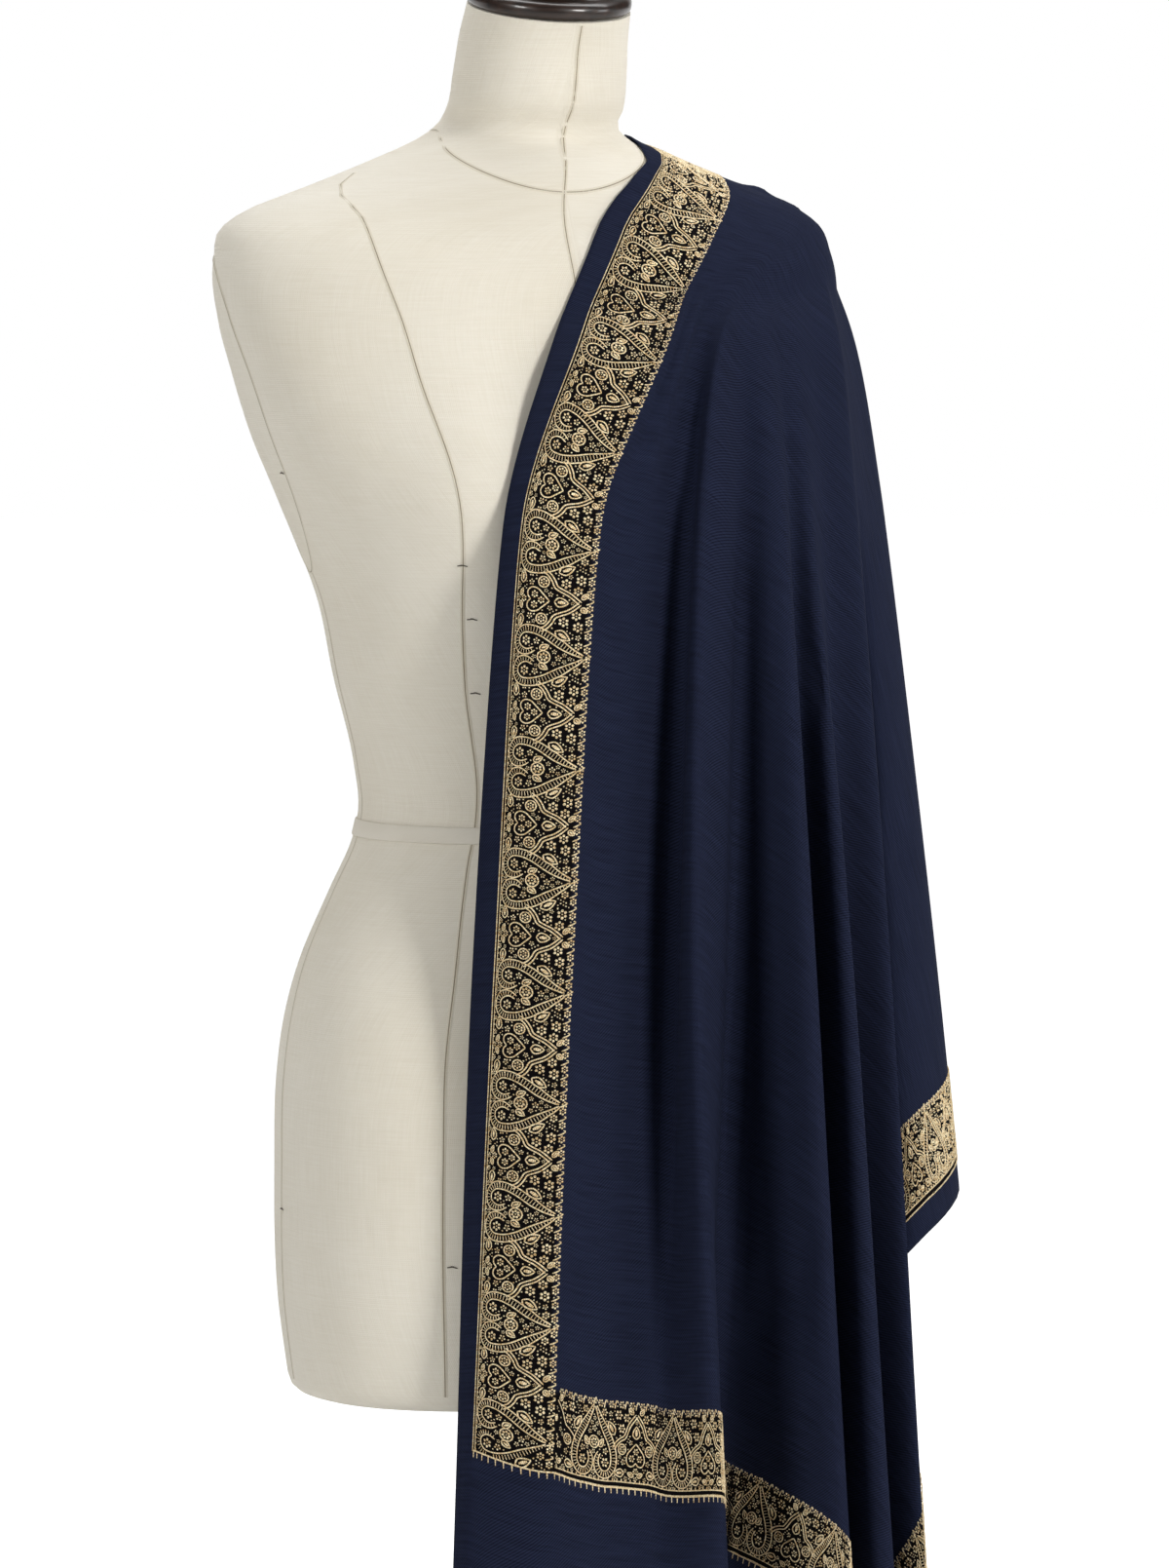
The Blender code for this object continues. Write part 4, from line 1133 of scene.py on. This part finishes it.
def boteh():
    """The pair of curled canes, with their filling, centred on s = 0."""
    cane = path_through(CANE)
    half = ladder(cane, np.interp(np.linspace(0, 1, len(cane)), *CANE_TAPER)) + filled(
        (rosette(2.7), 8.5, 13.9), (rosette(1.9, 5), 8.6, 20.4), (leaf(5.6, 3.2), 4.2, 22.4, 62),
        (rosette(1.3, 5), 3.4, 30.4), (rosette(1.2, 5), 1.9, 35.6), (rosette(1.1, 5), 1.5, 4.6))
    middle = filled(
        (ring(3.5) + rosette(2.5, 7), 0, 24.8), (rosette(1.6, 5), 0, 7.6), (rosette(1.8, 5), 0, 32.6),
        (rosette(1.2, 5), 0, 38.4), (rosette(1.9, 5), 0, 48.6))
    return half + mirrored(half) + middle


def arch():
    """The arch over a heart with three small roses, and its filling, centred on s = 0."""
    line = path_through(ARCH)
    lines = (beside(line, ARCH_HALF), beside(line, -ARCH_HALF), path_through(HEART))
    half = [(path, THREAD) for path in lines]
    half += filled(
        (rosette(2.1, 6), 2.9, 17.4), (ring(3.0) + rosette(2.1), 10.4, 22.2), (leaf(7.4, 4.4), 8.6, 8.8, -4),
        (rosette(1.5, 5), 7.2, 5.6), (rosette(1.8, 5), 9.4, 15.0), (rosette(1.7, 5), 14.2, 14.6),
        (leaf(4.6, 2.6), 1.4, 7.2, 24), (rosette(1.4, 5), 3.9, 26.4))
    middle = filled(
        (rosette(2.0), 0, 21.4), (rosette(2.0), 0, 10.2), (rosette(1.5, 5), 0, 5.6),
        (leaf(7.4, 5.0), 0, 28.6, 90), (rosette(1.0, 5), 0, 38.0))
    return half + mirrored(half) + middle


print("boteh:", len(boteh()), "stitches; arch:", len(arch()), "stitches")

# %% [markdown]
# ## One repeat
#
# A repeat is one arch and one boteh, 63.5 millimetres in all. Round them go the two outer lines with their
# row of small teeth, leaves and rosettes on the field side, and a scalloped edge. What ground is left is
# filled the way an embroiderer fills it: a seed or a tiny flower goes wherever there is room for one. The
# places are tried in a fixed order, so the pattern comes out the same each time.

# %% The repeat
REPEAT = 63.5                    # millimetres, as are the other lengths here
BAND = BORDER * 1000
LINE_STEP = 2.0
OUTER_LINES = [(0.0, 1.0), (3.5, 0.9)]  # t, width
TEETH = dict(pitch=3.4, first=1.6, last=1.0, low=3.8, high=5.2, width=1.5)
SCALLOP = 8.0
SCALLOP_CURL = [(2.6, 45.2), (3.4, 48.6), (4.2, 50.0), (5.0, 48.4)]
SEED_PITCH = 1.9
SEED_ROWS = (5.6, BAND - 2.0)
SEED_ROOM = 0.85                 # a seed needs this much room
SEED_GAP = 0.28                  # and leaves this much of it free
SEED_STITCH = [[-0.35, 0], [0.35, 0.2]]
SEED_TURN = 37.0                 # degrees between one row's seeds and the next row's
LARGEST_SEED = 1.6
SMALLEST_FLOWER = 1.0


def outer_lines(low, high):
    """Two gold lines along the border's outer side, with a row of teeth within."""
    run = np.linspace(low, high, int((high - low) / LINE_STEP) + 1)
    lines = [(joined(run, t), width) for t, width in OUTER_LINES]
    for s in np.arange(low + TEETH["first"], high - TEETH["last"], TEETH["pitch"]):
        lines.append((np.array([[s, TEETH["low"]], [s, TEETH["high"]]]), TEETH["width"]))
    return lines


def field_side():
    """Leaves and rosettes between the points of the motifs, and the scalloped edge."""
    stitches = []
    for arch_at, to_boteh in ((0.0, 1), (REPEAT, -1)):
        stitches += filled(
            (leaf(9.2, 4.8), arch_at + 16.6 * to_boteh, 30.0, 90 - 31 * to_boteh),
            (rosette(2.7), arch_at + 11.0 * to_boteh, 34.0), (rosette(2.8), arch_at + 13.6 * to_boteh, 41.6),
            (rosette(2.6), arch_at + 7.2 * to_boteh, 40.4), (rosette(2.2), arch_at + 24.6 * to_boteh, 42.6),
            (leaf(4.6, 2.6), arch_at + 2.6 * to_boteh, 42.6, 90 - 40 * to_boteh))
    for s in np.arange(SCALLOP / 2, REPEAT, SCALLOP):
        stitches += moved(rosette(2.2), s, 47.6)
        stitches.append((path_through(np.array(SCALLOP_CURL) + (s, 0)), THREAD))
    return stitches


def clear_room(s, t, taken):
    """The room round a place before it meets a stitch, in a pattern that repeats along s."""
    away = (taken[:, 0] - s + REPEAT / 2) % REPEAT - REPEAT / 2
    return float((np.hypot(away, taken[:, 1] - t) - taken[:, 2]).min())


def spots_of(stitches):
    """Places along the stitches, each with the room that its stitch takes up: half its width."""
    spots = []
    for path, width in stitches:
        dense = np.concatenate([path[:-1], path[:-1] + np.diff(path, axis=0) / 2, path[-1:]])
        spots.append(np.column_stack([dense, np.full(len(dense), width / 2)]))
    return np.concatenate(spots)


def with_seeds(stitches):
    """The stitches, and a seed or tiny flower wherever there is room for one."""
    taken = spots_of(stitches)
    for k, t in enumerate(np.arange(*SEED_ROWS, SEED_PITCH * 0.8)):
        for s in np.arange(0, REPEAT, SEED_PITCH) + (k % 2) * SEED_PITCH / 2:
            room = clear_room(s, t, taken)
            if room < SEED_ROOM:
                continue
            radius = min(room - SEED_GAP, LARGEST_SEED)
            seed = rosette(radius, 5) if radius > SMALLEST_FLOWER else [(np.array(SEED_STITCH), 2 * radius)]
            stitches = stitches + moved(seed, s, t, SEED_TURN * k)
            taken = np.concatenate([taken, [[s, t, radius]]])
    return stitches


one_repeat = with_seeds(arch() + moved(boteh(), REPEAT / 2, 0) + field_side())
print("one repeat:", len(one_repeat), "stitches")

# %% [markdown]
# ## Gold thread
#
# The thread is a strip of gilt metal wound round a silk core. It is not a mirror: it is a pale, dry gold
# whose windings glint one by one. So the finish is a pale gold, only slightly metallic and fairly rough, and
# fine bands across the thread stand for the windings. Their colour runs from a deeper gold to a pale cream,
# and the pale bands are painted glints. The bands also raise a bump. Between the threads the cloth shows,
# darkened there by painted shade and a dark stitched ground.

# %% Gold thread
WINDING = 0.0009                 # twice as coarse as real windings


def gilt_thread():
    """Gilt strip wound on silk: pale dry gold, with painted glints along its windings and small spots of tone
    that vary at random.
    """
    gilt = Finish("gilt thread", Metallic=0.15, Roughness=0.45)
    place = gilt.stored("thread_place")
    windings = gilt.waves(gilt.mapped(place, Rotation=(0, 0, radians(25))), "X", WINDING)
    tone = gilt.reckon("MULTIPLY_ADD", windings, 0.22, gilt.noise(place, (0.0016,) * 3))
    # painted glints: the pale cream end of this range falls on the windings' bands, and the small spots vary
    # at random
    gilt.coloured(gilt.between(tone, 0.45, 0.78), "BA9559", "FFF4D2")
    gilt.bumped(windings, 0.4, 0.0002)
    return gilt


gold = gilt_thread()
print("finish:", gold.material.name)

# %% [markdown]
# ## Laying the thread
#
# Each stitch becomes a low roof: a row of points down its middle, raised, and one down each side, on the
# cloth. The rows are worked out flat, then every point is handed to the stole, which knows where that place
# on the cloth hangs and which way is up. So the border bends with each fold, as the real one does.

# %% Roofs of thread
THREAD_RISE = 0.00055            # a roof's middle above the cloth
THREAD_SUNK = 0.0001             # its sides below the cloth's surface
BLUNT_END = 0.55                 # the share of its width that a thread keeps at its two ends


def roofs(stitches):
    """Points (s, t, raised 0 or 1, run) and faces for stitches drawn flat."""
    points, faces, first = [], [], 0
    for path, width in stitches:
        count = np.arange(len(path))
        half = np.minimum(1, BLUNT_END + np.minimum(count, count[::-1])) * width / 2
        s, t = np.moveaxis(np.stack([beside(path, half), path, beside(path, -half)], axis=1), -1, 0)
        points.append(joined(s, t, (0.0, 1.0, 0.0), run_along(path)[:, None]).reshape(-1, 4))
        faces.append(grid_faces(len(path), 3) + first)
        first += 3 * len(path)
    return np.concatenate(points), np.concatenate(faces)


def lay_thread(name, stitches, to_cloth):
    """Stitches drawn in millimetres, laid on the cloth by a function from s, t in metres to u, v."""
    points, faces = roofs(stitches)
    s, t, raised, run = points.T
    u, v = to_cloth(s / 1000, t / 1000)
    lift = CLOTH_THICK / 2 - THREAD_SUNK + raised * (THREAD_RISE + THREAD_SUNK)
    side = np.tile([-1.0, 0.0, 1.0], len(s) // 3) * THREAD / 2
    place = joined(run, side, s) / 1000
    piece = make_piece(name, stole.at(u, v, lift), faces, gold, "pashmina", thread_place=place)
    print(f"{name}: {triangles(piece)} triangles")
    return piece


# %% Where the border runs
FRONT_LINE = -(FRONT_FALL - END_MARGIN) * 1000     # the border's outer line at the front end, in millimetres
BACK_LINE = (BACK_FALL - END_MARGIN) * 1000
SQUARE_FADE = 0.100              # the border is drawn square to its edge except this near its ends
SLANT_STEP = 10.0                # millimetres between the places where its slant is worked out
SLANT_PROBE = 0.02               # how far to each side of such a place the sheet's slope is read
SLANT_EVENED = 9                 # how many of those places a slant is evened out over


def slant_along(u):
    """How far along the cloth, for each metre across it, the square to the border's edge runs, as a table."""
    v = np.arange(FRONT_LINE, BACK_LINE + 1, SLANT_STEP) / 1000
    u = u + 0 * v
    across = stole.bare(u + SLANT_PROBE, v) - stole.bare(u - SLANT_PROBE, v)
    along = stole.bare(u, v + SLANT_PROBE) - stole.bare(u, v - SLANT_PROBE)
    slant = -(across * along).sum(axis=1) / (along ** 2).sum(axis=1)
    padded = np.pad(slant, SLANT_EVENED // 2, mode="edge")
    slant = np.convolve(padded, np.ones(SLANT_EVENED) / SLANT_EVENED, mode="valid")
    from_end = np.clip(np.minimum(v - v[0], v[-1] - v) / SQUARE_FADE, 0, 1)
    return v, slant * from_end ** 2 * (3 - 2 * from_end)


NECK_SIDE_SLANT = slant_along(PLAIN_MARGIN + BORDER / 2)


def neck_side(s, t):
    return PLAIN_MARGIN + t, s + (t - BORDER / 2) * np.interp(s, *NECK_SIDE_SLANT)


def far_side(s, t):
    return CLOTH_WIDTH - PLAIN_MARGIN - t, s


def front_end(s, t):
    return PLAIN_MARGIN + BORDER + s, FRONT_LINE / 1000 + t


def back_end(s, t):
    return PLAIN_MARGIN + BORDER + s, BACK_LINE / 1000 - t


print(f"steepest slant: {np.abs(NECK_SIDE_SLANT[1]).max():.2f}")

# %% The border pieces
FIRST_ARCH = -815.0
SIDE_REPEATS = 30                # enough to run past both ends of the cloth, where they are cut
JOIN = FIRST_ARCH + 13 * REPEAT  # where the front pieces of the border hand over to the back ones
END_REPEATS = 9
END_PITCH = (CLOTH_WIDTH - 2 * (PLAIN_MARGIN + BORDER)) * 1000 / END_REPEATS


def repeated(count, start, pitch=REPEAT):
    """So many repeats in a row, stretched a hair along the border where its length asks for it."""
    size = (pitch / REPEAT, 1)
    return [(path * size + (start + k * pitch, 0), width) for k in range(count) for path, width in one_repeat]


def cut_between(stitches, low, high):
    """The stitches that lie wholly between two places along the border."""
    return [(path, width) for path, width in stitches if path[:, 0].min() > low and path[:, 0].max() < high]


def make_border():
    """The border along both long sides and both ends."""
    along = cut_between(repeated(SIDE_REPEATS, FIRST_ARCH - REPEAT), FRONT_LINE, BACK_LINE)
    front = [stitch for stitch in along if stitch[0][:, 0].mean() < JOIN] + outer_lines(FRONT_LINE, JOIN)
    back = [stitch for stitch in along if stitch[0][:, 0].mean() >= JOIN] + outer_lines(JOIN, BACK_LINE)
    end = END_REPEATS * END_PITCH
    across = cut_between(repeated(END_REPEATS, 0, END_PITCH), 0, end) + outer_lines(0, end)
    return [lay_thread("border_neck_side_front", front, neck_side),
            lay_thread("border_neck_side_back", back, neck_side),
            lay_thread("border_far_side_front", front, far_side),
            lay_thread("border_far_side_back", back, far_side),
            lay_thread("border_front_end", across, front_end),
            lay_thread("border_back_end", across, back_end)]


border = make_border()

# %% Picots
PICOT_PITCH = 4.5
PICOT_LENGTH = 3.4


def end_trim():
    """A line along the outer side of the border's end, and a row of small gold teeth beyond it."""
    low, high = -BAND, (CLOTH_WIDTH - 2 * PLAIN_MARGIN) * 1000 - BAND
    trim = [(joined(np.arange(low, high + 0.1, LINE_STEP), 0.4), 1.1)]
    for s in np.arange(low + 1.5, high, PICOT_PITCH):
        trim.append((np.array([[s, 0.2], [s + 0.1, -0.5 * PICOT_LENGTH]]), 1.5))
        trim.append((np.array([[s + 0.1, -0.4 * PICOT_LENGTH], [s + 0.2, -PICOT_LENGTH]]), 1.0))
    return trim


border += [lay_thread("picots_front_end", end_trim(), front_end),
           lay_thread("picots_back_end", end_trim(), back_end)]

# %% [markdown]
# ## Floor and light
#
# The stage is a pale floor that runs back a long way, lit from below towards its far end, and the world is
# white in that direction, so no horizon shows. No wall stands behind the form, which can be seen from every
# side. A large soft light stands well to the right, and a weaker one as far to the left. Neither can see into
# the valleys between the folds, so those go dark and every ridge is lit. A third light lifts the floor behind
# the form, and a fourth, faint and level with the shoulder, grazes the outermost folds. Area lights are
# used and not a sun, because their soft shadows suit cloth.

# %% Stage and light
FLOOR_REACH = 30.0               # metres out each way
FLOOR_DROP = 0.0002              # metres below the stand
GLOW = (0.8, 3.2)                # metres behind the form where the floor starts to glow, and glows in full
WHITE_SKY = (0.80, 0.95)         # how far towards the back a direction points where the sky turns white
DIM_SKY = 0.03                   # the sky's strength everywhere else
AT_FORM = (0.05, 0, 1.10)


def make_floor():
    """A pale sheet just under the stand."""
    paper = Finish("studio paper", Base_Color=linear("FAFAF8"), Roughness=0.9, Specular_IOR_Level=0.1,
                   Emission_Color=linear("FFFFFF"))
    place = add(paper.tree, "NewGeometry").outputs["Position"]
    back = add(paper.tree, "SeparateXYZ", Vector=place).outputs["Y"]
    wire(paper.shader, Emission_Strength=paper.between(back, *GLOW))
    far = FLOOR_REACH
    points = [(x, y, -FLOOR_DROP) for y in (-far, 0.0, far) for x in (-far, far)]
    mesh = bpy.data.meshes.new("studio_floor")
    mesh.from_pydata(points, [], grid_faces(3, 2).tolist())
    mesh.materials.append(paper.material)
    floor = in_scene("studio_floor", mesh)


def make_sky():
    """A white sky behind the form, and a dim one round the rest."""
    world = bpy.data.worlds.new("studio")
    world.use_nodes = True
    tree = world.node_tree
    back = add(tree, "SeparateXYZ", Vector=add(tree, "TexCoord").outputs["Generated"]).outputs["Y"]
    strength = add(tree, "MapRange", Value=back, From_Min=WHITE_SKY[0], From_Max=WHITE_SKY[1], To_Min=DIM_SKY)
    wire(tree.nodes["Background"], Color=linear("FFFFFF"), Strength=strength.outputs["Result"])
    bpy.context.scene.world = world


def soft_light(name, place, target, size, power, colour):
    lamp = bpy.data.lights.new(name, "AREA")
    lamp.size, lamp.energy, lamp.color = size, power, linear(colour)[:3]
    in_scene(name, lamp, place, target)


make_floor()
make_sky()
soft_light("key", (3.05, -3.22, 2.55), AT_FORM, 1.2, 132, "FFFDFA")
soft_light("fill", (-2.70, -3.45, 2.50), AT_FORM, 1.2, 80, "FFFEFC")
soft_light("rim", (3.50, -0.60, 1.60), (0.10, 0, 1.10), 1.0, 18, "FFFFFF")
soft_light("floor_light", (0.0, 1.0, 3.6), (0.0, 4.2, 1.0), 3.0, 130, "FFFFFF")
bpy.context.scene.view_settings.view_transform = "Standard"
print("lights:", len(bpy.data.lights))
